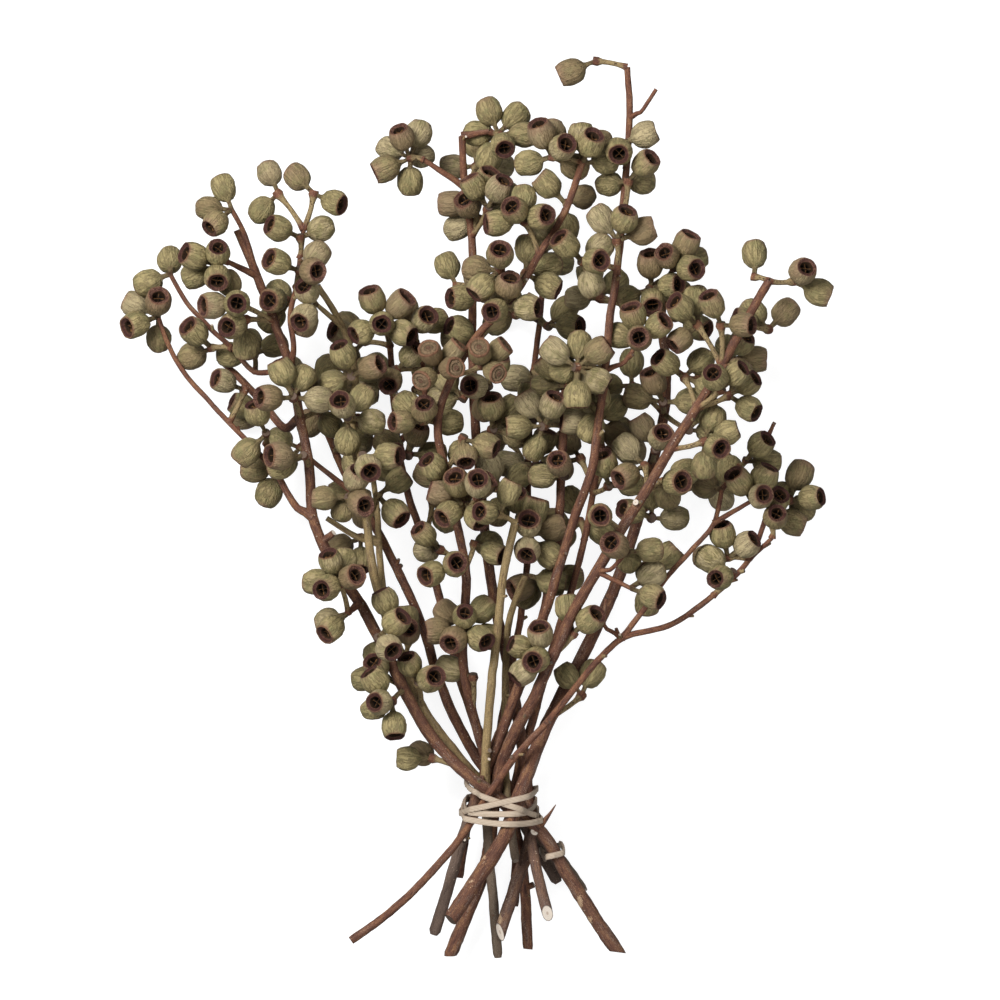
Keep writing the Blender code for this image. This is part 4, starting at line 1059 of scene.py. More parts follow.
@dataclass(frozen=True)
class BarkFinish:
    """Bark: its colours when young and old, its streaks, patches and pale flecks, and the wood at a cut."""

    slot: Bark
    old: Colour
    young: Colour
    warm: Colour
    dusk: Colour
    stalk: Colour
    grey: Colour
    dark: Colour
    fleck: Colour
    weathered: Colour
    grey_share: float
    fleck_share: float
    cut: Colour = (0.840, 0.770, 0.680)
    cut_ring: Colour = (0.660, 0.520, 0.400)
    heart: Colour = (0.470, 0.330, 0.230)
    worn: Colour = (0.105, 0.070, 0.050)
    bare: Colour = (0.400, 0.275, 0.170)

    def material(self) -> bpy.types.Material:
        """The bark's material.

        Returns:
            A material that reads the bark coordinates, youth, age and cut faces from the mesh.
        """
        made = Surface(self.slot.value)
        bark = made.scaled(made.attribute("bark", "Vector"), 1000.0)
        youth = made.attribute("youth")
        age = made.attribute("age")
        x, y, z = made.split(bark)
        streaks = made.noise(made.combine(x * 1.1, y * 1.1, z * 0.14), 1.0, 5.0, 0.68)
        threads = made.noise(made.combine(x * 2.6, y * 2.6, z * 0.11), 1.0, 3.0, 0.6)
        blotches = made.noise(made.combine(x * 0.45, y * 0.45, z * 0.15), 1.0, 4.0, 0.62)
        patches = made.noise(made.combine(x * 0.30, y * 0.30, z * 0.05), 1.0, 5.0, 0.72)
        grain = made.noise(made.combine(x, y, z * 0.6), 2.6, 4.0, 0.75)
        wood = made.mix(self.old, self.young, made.between(youth + (blotches - 0.5) * 1.3, 0.15, 0.70))
        wood = made.mix(wood, self.warm, made.between(blotches + (grain - 0.5) * 0.7, 0.50, 0.68) * 0.75)
        wood = made.mix(wood, self.dusk, made.between(blotches + (streaks - 0.5) * 0.6, 0.50, 0.34) * 0.7)
        is_stalk = made.between(youth + (patches - 0.5) * 0.4, 0.76, 0.90)
        wood = made.mix(wood, self.stalk, is_stalk)
        weather = made.between(age + (patches - 0.5) * 0.5, 0.10, 0.80)
        wood = made.mix(wood, self.weathered, weather * 0.9)
        wood = made.mix(wood, self.dark, made.between(streaks, 0.46, 0.32) * 0.7)
        grey = made.between(patches + (grain - 0.5) * 0.8, 0.60 - self.grey_share, 0.72 - self.grey_share)
        wood = made.mix(wood, self.grey, grey * (1 - youth * 0.7) * 0.7)
        wood = made.mix(wood, self.grey, made.between(threads, 0.60, 0.72) * (1 - is_stalk) * 0.25)
        flecks, shown = self._flecks(made, x, y, z)
        wood = made.mix(wood, self.fleck, flecks * shown * (1 - is_stalk * 0.8))
        bare = made.between(made.attribute("scar") + (grain - 0.5) * 1.9 + (streaks - 0.5) * 0.8, 0.40, 0.52)
        wood = made.mix(wood, self.bare, bare * 0.85)
        spots = made.between(made.noise(made.combine(x, y, z * 0.5), 1.3, 2.0), 0.58, 0.64)
        wood = made.mix(wood, self.dark, spots * is_stalk * 0.8)
        wood = made.mix(wood, (1.65, 1.58, 1.50), made.between(grain, 0.50, 0.68) * 0.7, "MULTIPLY")
        wood = made.mix(wood, (0.42, 0.38, 0.37), made.between(grain, 0.48, 0.32) * 0.75, "MULTIPLY")
        ends = made.mix(wood, self._cut_face(made), made.attribute("cut"))
        rise = streaks * 0.40 + grain * 0.40 + flecks * 0.20 + blotches * 0.25 + threads * 0.12
        rough = 0.60 + streaks * 0.22 + grey * 0.10
        return made.dress({"Specular IOR Level": 0.22}, colour=ends, roughness=rough, normal=made.bump(rise, 0.0008))

    def _flecks(self, made: Surface, x: Term, y: Term, z: Term) -> tuple[Term, Term]:
        """Small pale raised pores, long across the stem, and which of them are bare enough to show."""
        place = made.combine(x * 0.48, y * 0.48, z * 0.62)
        cell = {"feature": "F1", "voronoi_dimensions": "3D"}
        values = {"Vector": place, "Scale": 1.0, "Randomness": 1.0}
        far = made.make("ShaderNodeTexVoronoi", cell, values, "Distance")
        tint = made.make("ShaderNodeTexVoronoi", cell, values, "Color")
        first, second, _ = made.split(tint)
        size = 0.05 + 0.20 * second * second
        inside = 1 - made.between(far / size, 0.6, 1.0)
        cluster = made.noise(made.combine(x, y, z), 0.22, 2.0)
        return inside, made.between(first + (cluster - 0.5) * 1.6, 0.80 - self.fleck_share, 0.85 - self.fleck_share)

    def _cut_face(self, made: Surface) -> Term:
        """Sawn wood: rings about a darker middle, pale where the cut is fresh and brown where it is worn."""
        rim = made.attribute("rim", "Vector")
        across = made.make("ShaderNodeVectorMath", {"operation": "LENGTH"}, {0: rim}, "Value")
        fibre = made.noise(made.attribute("bark", "Vector"), 2200.0, 4.0, 0.7)
        rings = made.math("SINE", (across + fibre * 0.10) * 30.0) * 0.5 + 0.5
        face = made.mix(self.cut, self.cut_ring, rings * 0.3 + fibre * 0.4)
        face = made.mix(face, self.heart, made.between(across, 0.30, 0.10) * 0.7)
        face = made.mix(self.worn, face, made.between(made.attribute("fresh") + (fibre - 0.5) * 0.4, 0.35, 0.95))
        return made.mix(face, self.dark, made.between(across + fibre * 0.10, 0.90, 0.99) * 0.8)


@dataclass(frozen=True)
class NutFinish:
    """The skin of a nut, the ring round its mouth, the valves inside it, and the lid of a sealed one, with shade
    painted into its wrinkles, the lid's grooves and the mouth.
    """

    light: Colour = (0.340, 0.275, 0.129)
    middle: Colour = (0.230, 0.184, 0.084)
    pale: Colour = (0.450, 0.365, 0.225)
    # Painted shade for the hollows of wrinkles and lid grooves; also the lid's dark grain specks.
    crease_shade_and_speck: Colour = (0.095, 0.070, 0.036)
    green: Colour = (0.200, 0.186, 0.080)
    blush: Colour = (0.262, 0.165, 0.100)
    brown: Colour = (0.195, 0.130, 0.070)
    ring: Colour = (0.058, 0.020, 0.015)
    ring_pale: Colour = (0.260, 0.135, 0.088)
    edge: Colour = (0.150, 0.062, 0.035)
    # Painted shade inside the mouth: near black at the bottom, dark brown up the valves.
    hole_shade: Colour = (0.010, 0.005, 0.002)
    valve_shade: Colour = (0.030, 0.014, 0.005)
    crest: Colour = (0.250, 0.115, 0.036)
    stalk: Colour = (0.230, 0.172, 0.084)
    stalk_spot: Colour = (0.095, 0.038, 0.022)
    lid: Colour = (0.245, 0.160, 0.092)
    lid_ring: Colour = (0.205, 0.098, 0.056)
    lid_dot: Colour = (0.250, 0.115, 0.075)

    def material(self) -> bpy.types.Material:
        """The nuts' material.

        Returns:
            A material that reads each nut's own coordinates, its seed and its kind from the mesh.
        """
        made = Surface("nut_skin")
        local = made.attribute("nut", "Vector")
        seed = made.attribute("seed")
        x, y, z = made.split(local)
        across = made.math("SQRT", x * x + y * y)
        apart = made.combine(seed * 91.0, seed * 57.0, seed * 33.0)
        place = made.vector_math("ADD", local, apart)
        clouds = made.noise(place, 0.20, 3.0, 0.6)
        ridges, wrinkles = self._wrinkles(made, x, y, z, across, apart)
        grain = made.noise(place, 2.6, 3.0, 0.7)
        # Mostly the skin's own random tone; the quarter share from the broad folds is painted shade, darker in their
        # hollows.
        skin = made.mix(self.middle, self.light, made.between(clouds * 0.75 + ridges * 0.25, 0.36, 0.72))
        skin = made.mix(skin, self.green, made.between(clouds, 0.52, 0.36) * 0.5)
        bleached = made.math("SINE", seed * 61.0)
        skin = made.mix(skin, self.pale, made.between(bleached + (clouds - 0.5) * 0.8, 0.72, 1.0) * 0.55)
        skin = made.mix(skin, self.brown, made.between(seed + (clouds - 0.5) * 0.5, 0.62, 0.95) * 0.75)
        blush = made.between(z + (clouds - 0.5) * 9.0 + seed * 2.5, 3.8, 7.2)
        skin = made.mix(skin, self.blush, blush * 0.7)
        # Painted shade: the skin is darkened in the hollows of the fine wrinkles.
        skin = made.mix(skin, self.crease_shade_and_speck, made.between(wrinkles, 0.30, 0.05) * 0.55)
        skin = made.mix(skin, self.blush, made.between(grain, 0.56, 0.66) * (0.2 + bleached * 0.2))
        low = z + (clouds - 0.5) * 3.0
        skin = made.mix(skin, self.stalk, made.between(low, -7.7, -9.4))
        skin = made.mix(skin, self.stalk_spot, made.between(low, -11.6, -13.4) * 0.6)
        freckles = made.between(made.noise(place, 0.9, 3.0), 0.54, 0.62) * made.between(low, -7.8, -9.8)
        skin = made.mix(skin, self.stalk_spot, freckles * 0.75)
        colour = self._mouth(made, skin, across, z, clouds, grain, seed)
        colour = made.mix(colour, self._lid(made, skin, across, z, grain), made.attribute("lid"))
        rise = wrinkles * 0.70 + ridges * 0.30 + grain * 0.16
        rough = 0.62 + wrinkles * 0.14
        return made.dress({"Specular IOR Level": 0.25}, colour=colour, roughness=rough, normal=made.bump(rise, 0.00058))

    @staticmethod
    def _wrinkles(made: Surface, x: Term, y: Term, z: Term, across: Term, apart: Term) -> tuple[Term, Term]:
        """Folds and fine wavy wrinkles that run from the stalk to the mouth.

        Args:
            made: The surface that they are made for.
            x: Across the nut, in millimetres.
            y: The other way across it.
            z: Along it, towards the mouth.
            across: How far from its axis.
            apart: A step that keeps one nut's wrinkles from another's.

        Returns:
            The broad folds and the fine wrinkles, each 0 in a hollow and 1 between hollows.
        """
        least = made.math("MAXIMUM", across, 1.2)
        wave = made.noise(made.vector_math("ADD", made.combine(x, y, z), apart), 0.42, 2.0, 0.5, "Color")
        bent = made.vector_math("ADD", apart, made.scaled(wave, 0.9))
        found = []
        for around, along, width in ((2.4, 0.07, 0.12), (9.5, 0.16, 0.17)):
            spot = made.combine(x / least * around, y / least * around, z * along)
            level = made.noise(made.vector_math("ADD", spot, bent), 1.0, 2.0, 0.5)
            found.append(made.between(made.math("ABSOLUTE", level - 0.5), 0.0, width))
        return found[0], found[0] * 0.22 + found[1] * 0.78

    def _mouth(self, made: Surface, skin: Term, across: Term, z: Term, clouds: Term, grain: Term, seed: Term) -> Term:
        """The skin with the mouth's ring and edge laid on it, and painted shade inside the mouth that darkens from the
        valves' crests down to its floor.
        """
        speckle = made.between(grain + (clouds - 0.5) * 0.6 + seed * 0.20 - 0.12, 0.54, 0.70)
        outer = made.between(across, 3.9, 4.8) * 0.12
        ring = made.mix(self.ring, self.ring_pale, made.between(speckle + outer, 0.0, 1.0) * (0.35 + seed * 0.35))
        colour = made.mix(skin, self.edge, made.between(z, 4.7, 5.3) * 0.7)
        colour = made.mix(colour, ring, made.between(z, 3.6, 3.9) * made.between(across, 4.95, 4.70))
        lip = made.between(across, 3.65, 3.40) * made.between(across, 3.0, 3.2)
        colour = made.mix(colour, self.edge, lip * made.between(z, 3.6, 3.9) * 0.45)
        # Painted shade: inside the mouth the colour darkens with depth, from the valves' tan crests to near black at
        # the bottom.
        inner = made.between(across, 3.35, 3.10) * made.between(z, -1.6, -0.9)
        deep = made.mix(self.hole_shade, self.valve_shade, made.between(z + (grain - 0.5) * 1.5, 0.6, 2.4))
        deep = made.mix(deep, self.crest, made.between(z, 2.1, 3.0) * made.between(across, 2.9, 2.5))
        return made.mix(colour, deep, inner)

    def _lid(self, made: Surface, skin: Term, across: Term, z: Term, grain: Term) -> Term:
        """The skin with a sealed nut's rings laid on it, and painted shade in the grooves between them."""
        radius = across + (grain - 0.5) * 0.9
        face = made.mix(self.lid, self.lid_ring, made.between(radius, 3.7, 4.2))
        for inner, outer in ((3.35, 4.25), (1.75, 2.45)):
            middle = (inner + outer) / 2
            groove_shade = made.between(radius, inner, middle) * made.between(radius, outer, middle)
            # Painted shade in the two grooves of the lid.
            face = made.mix(face, self.crease_shade_and_speck, groove_shade * 0.85)
        face = made.mix(face, self.lid_dot, made.between(radius, 1.3, 0.9) * made.between(radius, 0.3, 0.6))
        face = made.mix(face, self.crease_shade_and_speck, made.between(grain, 0.48, 0.64) * 0.65)
        return made.mix(made.mix(skin, self.brown, 0.45), face, made.between(z, 2.2, 2.9))


@dataclass(frozen=True)
class RubberFinish:
    """Cream latex with lengthwise ridges, darker towards its side edges and in dusty patches."""

    cream: Colour = (0.330, 0.250, 0.178)
    pale: Colour = (0.450, 0.370, 0.285)
    edge: Colour = (0.215, 0.135, 0.095)

    def material(self) -> bpy.types.Material:
        """The band's material.

        Returns:
            A material that reads the strap coordinates from the mesh.
        """
        made = Surface("band_rubber")
        strap = made.attribute("strap", "Vector")
        side, along, _ = made.split(strap)
        waves = made.noise(made.combine(side * 2.2, along * 0.06, 0.0), 1.0, 2.0)
        ridges = made.math("SINE", (side + (waves - 0.5) * 0.3) * 9.0) * 0.5 + 0.5
        dust = made.noise(made.combine(side, along * 0.25, 0.0), 1.6, 5.0, 0.7)
        body = made.mix(self.cream, self.pale, made.between(ridges * 0.5 + dust * 0.6, 0.3, 0.75))
        far = made.math("ABSOLUTE", side)
        body = made.mix(body, self.edge, made.between(far + (dust - 0.5) * 0.5, 1.15, 1.6) * 0.7)
        body = made.mix(body, self.edge, made.between(dust, 0.62, 0.75) * 0.4)
        normal = made.bump(ridges * 0.6 + dust * 0.4, 0.00022)
        return made.dress({"Specular IOR Level": 0.45}, colour=body, roughness=0.5 + dust * 0.25, normal=normal)


@dataclass(frozen=True)
class FloorFinish:
    """A pale sheet lit from below, very slightly uneven, so that only faint shadows lie on it."""

    pale: Colour = (0.26, 0.26, 0.26)
    soft: Colour = (0.23, 0.23, 0.23)
    glow: float = 0.87

    def material(self) -> bpy.types.Material:
        """The floor's material."""
        made = Surface("pale_floor")
        place = made.make("ShaderNodeTexCoord", {}, {}, "Object")
        clouds = made.noise(place, 6.0, 3.0)
        constants = {"Roughness": 0.9, "Emission Color": (1.0, 1.0, 1.0, 1.0), "Emission Strength": self.glow}
        return made.dress(constants, colour=made.mix(self.pale, self.soft, clouds * 0.5))


class WoodTree(PieceTree):
    """Sweeps a rough round section along each length of wood, with bark coordinates and slanting cut ends."""

    def __init__(self) -> None:
        """Builds the tree."""
        super().__init__("wood", ("Step", "Bow", "Knobs", "Slant length"))
        tube = self._tube(self._lines())
        offset = self.vector_math("SUBTRACT", self._spot(), self.named("core", "FLOAT_VECTOR"))
        dot = {0: offset, 1: self.named("slant", "FLOAT_VECTOR")}
        share = self.make("ShaderNodeVectorMath", {"operation": "DOT_PRODUCT"}, dot, "Value")
        way = self.named("way", "FLOAT_VECTOR")
        tube = self.shift(tube, self.scaled(way, share * self.named("near_end")))
        rough = self.noise(self.named("bark", "FLOAT_VECTOR"), 420.0, 3.0) - 0.5
        normal = self.make("GeometryNodeInputNormal", {}, {})
        tube = self.shift(tube, self.scaled(normal, rough * self.named("thick") * 0.24))
        self.close(self.above_floor(tube))

    def _spot(self) -> Term:
        """Where each point is."""
        return self.make("GeometryNodeInputPosition", {}, {})

    def _lines(self) -> Term:
        """The middles of the wood: smooth, a little wandering, and with all that the bark is made from."""
        line = self.make("GeometryNodeMeshToCurve", {}, {"Mesh": self.given("Geometry")})
        line = self.make("GeometryNodeCurveSplineType", {"spline_type": "CATMULL_ROM"}, {"Curve": line})
        values = {"Curve": line, "Length": self.given("Step")}
        line = self.make("GeometryNodeResampleCurve", {"mode": "LENGTH"}, values)
        spot = self._spot()
        wander = self.vector_math("SUBTRACT", self.noise(spot, 70.0, 2.0, 0.5, "Color"), (0.5, 0.5, 0.5))
        line = self.shift(line, self.scaled(wander, self.given("Bow") * self.named("loose")))
        line = self.store(line, "core", spot, "FLOAT_VECTOR")
        length = self.make("GeometryNodeSplineParameter", {}, {}, "Length")
        line = self.store(line, "along", length + self.named("start"))
        line = self.store(line, "way", self.make("GeometryNodeInputTangent", {}, {}), "FLOAT_VECTOR")
        line = self.store(line, "near_end", self.math("MAXIMUM", 1 - length / self.given("Slant length"), 0.0))
        knob = self.noise(spot, 110.0, 3.0) - 0.5
        worn = 1 - self.named("blunt") * self.math("LESS_THAN", length, 0.001)
        return self.store(line, "thick", self.named("thick") * worn * (1 + knob * self.given("Knobs")))

    def _tube(self, line: Term) -> Term:
        """The surface round the middles, with its bark coordinates and its cut faces marked."""
        ring = self.make("GeometryNodeCurvePrimitiveCircle", {"mode": "RADIUS"}, {"Resolution": 12, "Radius": 1.0})
        ring = self.store(ring, "rim", self._spot(), "FLOAT_VECTOR")
        values = {"Curve": line, "Profile Curve": ring, "Scale": self.named("thick"), "Fill Caps": True}
        tube = self.make("GeometryNodeCurveToMesh", {}, values)
        rim = self.scaled(self.named("rim", "FLOAT_VECTOR"), self.named("thick"))
        bark = self.vector_math("ADD", rim, self.combine(self.named("turn"), 0.0, self.named("along")))
        tube = self.store(tube, "bark", bark, "FLOAT_VECTOR")
        dot = {0: self.make("GeometryNodeInputNormal", {}, {}), 1: self.named("way", "FLOAT_VECTOR")}
        facing = self.make("ShaderNodeVectorMath", {"operation": "DOT_PRODUCT"}, dot, "Value")
        is_cut = self.math("GREATER_THAN", self.math("ABSOLUTE", facing), 0.8)
        settings = {"data_type": "FLOAT", "domain": "FACE"}
        return self.make("GeometryNodeStoreNamedAttribute", settings, {"Geometry": tube, "Name": "cut", "Value": is_cut})


class NutTree(PieceTree):
    """Puts a nut on each point, turned the way that it looks, each a little different."""

    def __init__(self) -> None:
        """Builds the tree."""
        super().__init__("nuts", ("Forms", "Dents", "Dent size", "Folds", "Fold size"))
        values = {"Collection": self.given("Forms"), "Separate Children": True, "Reset Children": True}
        forms = self.make("GeometryNodeCollectionInfo", {}, values)
        way = self.named("way", "FLOAT_VECTOR")
        turned = self.make("FunctionNodeAlignRotationToVector", {"axis": "Z"}, {"Vector": way})
        spin = self.make("FunctionNodeAxisAngleToRotation", {}, {"Axis": (0, 0, 1), "Angle": self.named("spin")})
        settings = {"rotation_space": "LOCAL"}
        turned = self.make("FunctionNodeRotateRotation", settings, {"Rotation": turned, "Rotate By": spin})
        values = {
            "Points": self.given("Geometry"),
            "Instance": forms,
            "Pick Instance": True,
            "Instance Index": self.named("form", "INT"),
            "Rotation": turned,
            "Scale": self.named("size", "FLOAT_VECTOR"),
        }
        nuts = self.make("GeometryNodeInstanceOnPoints", {}, values)
        real = self.make("GeometryNodeRealizeInstances", {}, {"Geometry": nuts})
        spot = self.make("GeometryNodeInputPosition", {}, {})
        seed = self.named("seed")
        apart = self.combine(seed * 3.1, seed * 7.7, seed * 5.3)
        place = self.vector_math("ADD", spot, apart)
        for depth, size in (("Dents", "Dent size"), ("Folds", "Fold size")):
            dent = self.noise(place, self.given(size), 2.0, 0.5, "Color")
            push = self.vector_math("SUBTRACT", dent, (0.5, 0.5, 0.5))
            real = self.shift(real, self.scaled(push, self.given(depth)))
        self.close(self.above_floor(real))


@dataclass
class NutForms:
    """The fine shapes that nuts are made from, along +Z with the middle of the nut at the origin."""

    segments: int = 24
    profiles: dict = field(default_factory=lambda: {
        Form.ROUND: (
            (1.30, -14.5), (1.20, -10.6), (1.30, -8.9), (1.85, -7.9), (3.10, -7.2), (4.45, -6.2), (5.55, -4.8),
            (6.30, -3.0), (6.62, -1.2), (6.60, 0.6), (6.35, 2.3), (5.90, 3.8), (5.40, 4.9), (5.10, 5.40),
            (4.88, 5.45), (4.50, 5.05), (4.00, 4.70), (3.50, 4.50), (3.15, 4.25), (3.02, 3.5), (2.92, 1.9),
            (2.50, 0.2), (1.60, -0.4), (0.80, -0.2),
        ),
        Form.BARREL: (
            (1.30, -14.5), (1.20, -10.4), (1.35, -8.8), (2.05, -7.7), (3.40, -7.0), (4.70, -5.9), (5.65, -4.4),
            (6.20, -2.7), (6.45, -0.9), (6.55, 1.0), (6.45, 2.7), (6.10, 4.0), (5.70, 5.1), (5.38, 5.60),
            (5.12, 5.65), (4.70, 5.20), (4.20, 4.85), (3.70, 4.65), (3.32, 4.40), (3.15, 3.6), (3.05, 1.9),
            (2.70, 0.2), (1.70, -0.4), (0.90, -0.2),
        ),
        Form.URN: (
            (1.30, -14.5), (1.20, -10.8), (1.30, -9.1), (1.75, -8.1), (2.90, -7.4), (4.30, -6.4), (5.50, -5.0),
            (6.35, -3.1), (6.68, -1.4), (6.62, 0.2), (6.30, 1.9), (5.75, 3.4), (5.10, 4.5), (4.80, 5.05),
            (4.58, 5.10), (4.25, 4.75), (3.80, 4.45), (3.40, 4.30), (3.05, 4.05), (2.90, 3.4), (2.80, 1.9),
            (2.40, 0.2), (1.50, -0.4), (0.80, -0.2),
        ),
        Form.SEALED: (
            (1.30, -14.5), (1.30, -11.8), (1.60, -10.0), (2.60, -8.6), (3.90, -7.0), (4.90, -5.2), (5.45, -3.0),
            (5.60, -1.0), (5.55, 0.8), (5.45, 2.2), (5.35, 3.2), (5.10, 3.75), (4.65, 3.85), (4.25, 3.45),
            (3.85, 2.95), (3.45, 3.05), (3.05, 3.50), (2.60, 3.60), (2.20, 3.20), (1.80, 3.00), (1.40, 3.30),
            (0.95, 3.60), (0.45, 3.40),
        ),
    })

    def collection(self) -> bpy.types.Collection:
        """The forms as hidden objects of a collection, in the order of their numbers."""
        made = bpy.data.collections.new("nut_forms")
        for form, profile in self.profiles.items():
            mesh = self._mesh(form, profile)
            made.objects.link(bpy.data.objects.new(f"form_{form.value}_{form.name.lower()}", mesh))
        return made

    def _mesh(self, form: Form, profile: Sequence[tuple[float, float]]) -> bpy.types.Mesh:
        """One form.

        Args:
            form: Which it is.
            profile: Its radius and height at each ring, from the stalk to the middle of the mouth.

        Returns:
            Its mesh, with the nut's own coordinates in millimetres on its points.
        """
        points = [(0.0, 0.0, profile[0][1])]
        for radius, height in profile:
            for side in range(self.segments):
                angle = math.tau * side / self.segments
                lift = self._valve(form, radius, height, angle)
                points.append((radius * math.cos(angle), radius * math.sin(angle), height + lift))
        points.append((0.0, 0.0, 3.1 if form is not Form.SEALED else 3.2))
        faces = []
        last = len(points) - 1
        for ring in range(len(profile)):
            for side in range(self.segments):
                after = (side + 1) % self.segments
                low = 1 + ring * self.segments
                if ring == 0:
                    faces.append((0, low + after, low + side))
                if ring + 1 < len(profile):
                    high = low + self.segments
                    faces.append((low + side, low + after, high + after, high + side))
                else:
                    faces.append((low + side, low + after, last))
        mesh = plain_mesh(f"form_{form.name.lower()}", np.array(points) * METRES, (), faces)
        give(mesh, "nut", "FLOAT_VECTOR", points)
        give(mesh, "lid", "FLOAT", [float(form is Form.SEALED)] * len(points))
        return mesh

    @staticmethod
    def _valve(form: Form, radius: float, height: float, angle: float) -> float:
        """How far one of four thin walls rises from the floor of an open mouth."""
        if form is Form.SEALED or radius > 2.75 or not -1 < height < 1:
            return 0.0
        return (3.0 - height) * max(0.0, math.cos(4 * angle)) ** 4


@dataclass(frozen=True)
class Ending:
    """A stem's foot: the way its cut slants, how pale the wood is, how worn its edge is and how grey its bark."""

    slant: Point = (0.0, 0.0, 0.15)
    fresh: float = 0.45
    blunt: float = 0.12
    greyness: float = 0.15
    top_fresh: float = 0.3


@dataclass(frozen=True)
class Stub:
    """A broken or cut side twig: where it leaves the wood, the way it points, and its size in millimetres."""

    spot: tuple[float, float]
    way: Point
    length: float
    foot: float
    tip: float
    fresh: float = 1.0
    youth: float = 0.2


@dataclass(frozen=True)
class Scar:
    """A patch where the bark has come off: where it is, how far it reaches along the wood, and how wide it is."""

    spot: tuple[float, float]
    reach: float
    width: float


@dataclass
class Length:
    """One length of wood: its points and radii in millimetres, and how its bark and its two ends look."""

    points: np.ndarray
    radii: np.ndarray
    youth: np.ndarray
    loose: float = 1.0
    slant: Point = (0.0, 0.0, 0.0)
    blunt: float = 0.0
    fresh: tuple[float, float] = (0.0, 0.0)


ENDINGS = {
    "branch_left_main": Ending((-0.72, -0.50, 0.25), 0.10, 0.10, 0.25),
    "branch_left_grey": Ending((-0.50, 0.0, 0.60), 0.65, 0.15, 0.85),
    "branch_left_dark": Ending((0.0, 0.0, 0.10), 0.05, 0.42, 0.90),
    "branch_left_inner": Ending((0.0, 0.0, 1.45), 1.00, 0.04, 0.45),
    "branch_centre_red": Ending((-0.15, 0.0, 0.15), 0.20, 0.15, 0.05),
    "branch_centre_tall": Ending((-1.05, 0.0, 0.75), 1.00, 0.04, 0.40),
    "branch_olive_front": Ending((0.0, 0.0, 0.10), 0.15, 0.30, 1.0, 1.0),
    "branch_olive_short": Ending((0.0, 0.0, 0.40), 0.50, 0.20, 1.0),
    "branch_right_front": Ending((0.45, 0.0, 0.10), 0.20, 0.20, 0.0),
    "branch_right_thick": Ending((-0.15, 0.10, 0.35), 0.10, 0.10, 0.05),
    "branch_right_tall": Ending((0.0, 0.0, 0.10), 0.10, 0.36, 1.0),
    "branch_right_thin": Ending((0.0, 0.0, 0.30), 0.60, 0.05, 0.20),
}
STUBS = {
    "branch_left_main": (
        Stub((38.6, -154.0), (0.62, 0.85, 0.35), 12.5, 1.8, 0.25, 0.0),
        Stub((36.9, -151.0), (-0.55, 0.5, 0.8), 1.6, 1.3, 0.8, 0.2),
        Stub((-84.0, -20.0), (0.75, 0.55, 0.5), 6.0, 1.9, 1.6, 1.0),
    ),
    "branch_left_inner": (
        Stub((30.0, -164.0), (0.25, 0.45, 0.9), 4.0, 2.4, 2.0, 1.0),
    ),
    "branch_left_dark": (
        Stub((-29.0, -39.0), (-0.7, 0.5, 0.5), 1.2, 1.7, 1.1, 0.3),
        Stub((-37.0, -29.0), (0.7, 0.6, 0.5), 1.2, 1.6, 1.0, 0.3),
    ),
    "branch_left_grey": (Stub((-44.0, -42.0), (0.75, 0.6, 0.4), 2.6, 1.4, 1.1, 0.9, 0.5),),
    "branch_centre_red": (Stub((27.0, -189.4), (1.0, 0.35, 0.35), 2.4, 1.7, 1.6, 0.0),),
    "branch_right_front": (
        Stub((81.0, 4.0), (-0.3, 0.3, 1.0), 0.9, 2.0, 1.6, 0.72),
        Stub((33.0, -80.0), (-0.8, 0.4, 0.5), 0.8, 1.8, 1.2, 0.4),
        Stub((29.0, -90.0), (0.8, 0.3, 0.5), 0.8, 1.8, 1.2, 0.4),
        Stub((125.0, 72.0), (0.7, -0.4, 0.6), 1.0, 1.7, 1.1, 0.5),
    ),
    "branch_right_thin": (
        Stub((20.5, -124.5), (-0.6, 0.4, 0.8), 0.8, 1.6, 1.0, 0.4),
        Stub((38.0, -107.0), (0.7, 0.3, 0.7), 0.8, 1.5, 1.0, 0.4),
        Stub((147.5, 36.0), (0.4, 0.9, 0.2), 7.0, 1.2, 0.9, 0.8, 0.5),
    ),
    "branch_right_tall": (Stub((74.5, 156.0), (0.7, 0.2, 0.7), 1.0, 1.4, 0.9, 0.6),),
    "branch_olive_front": (Stub((11.0, -121.0), (0.6, 0.2, 0.8), 0.9, 1.9, 1.2, 0.5, 0.5),),
}
SCARS = {
    "branch_left_main": (Scar((54.0, -197.0), 7.0, 2.4), Scar((59.0, -206.0), 4.0, 1.8)),
    "branch_left_inner": (Scar((32.0, -158.0), 5.0, 2.2),),
    "branch_centre_tall": (Scar((19.0, -171.0), 6.0, 1.8), Scar((14.0, -205.0), 6.0, 1.6)),
    "branch_right_front": (Scar((19.7, -139.0), 6.0, 1.5), Scar((81.0, 4.0), 4.0, 1.8), Scar((36.5, -72.5), 4.0, 1.6)),
    "branch_right_thick": (Scar((6.0, -174.0), 4.5, 1.4), Scar((0.0, -186.0), 4.0, 1.2)),
    "branch_left_dark": (Scar((-57.0, -16.0), 4.0, 1.6),),
}


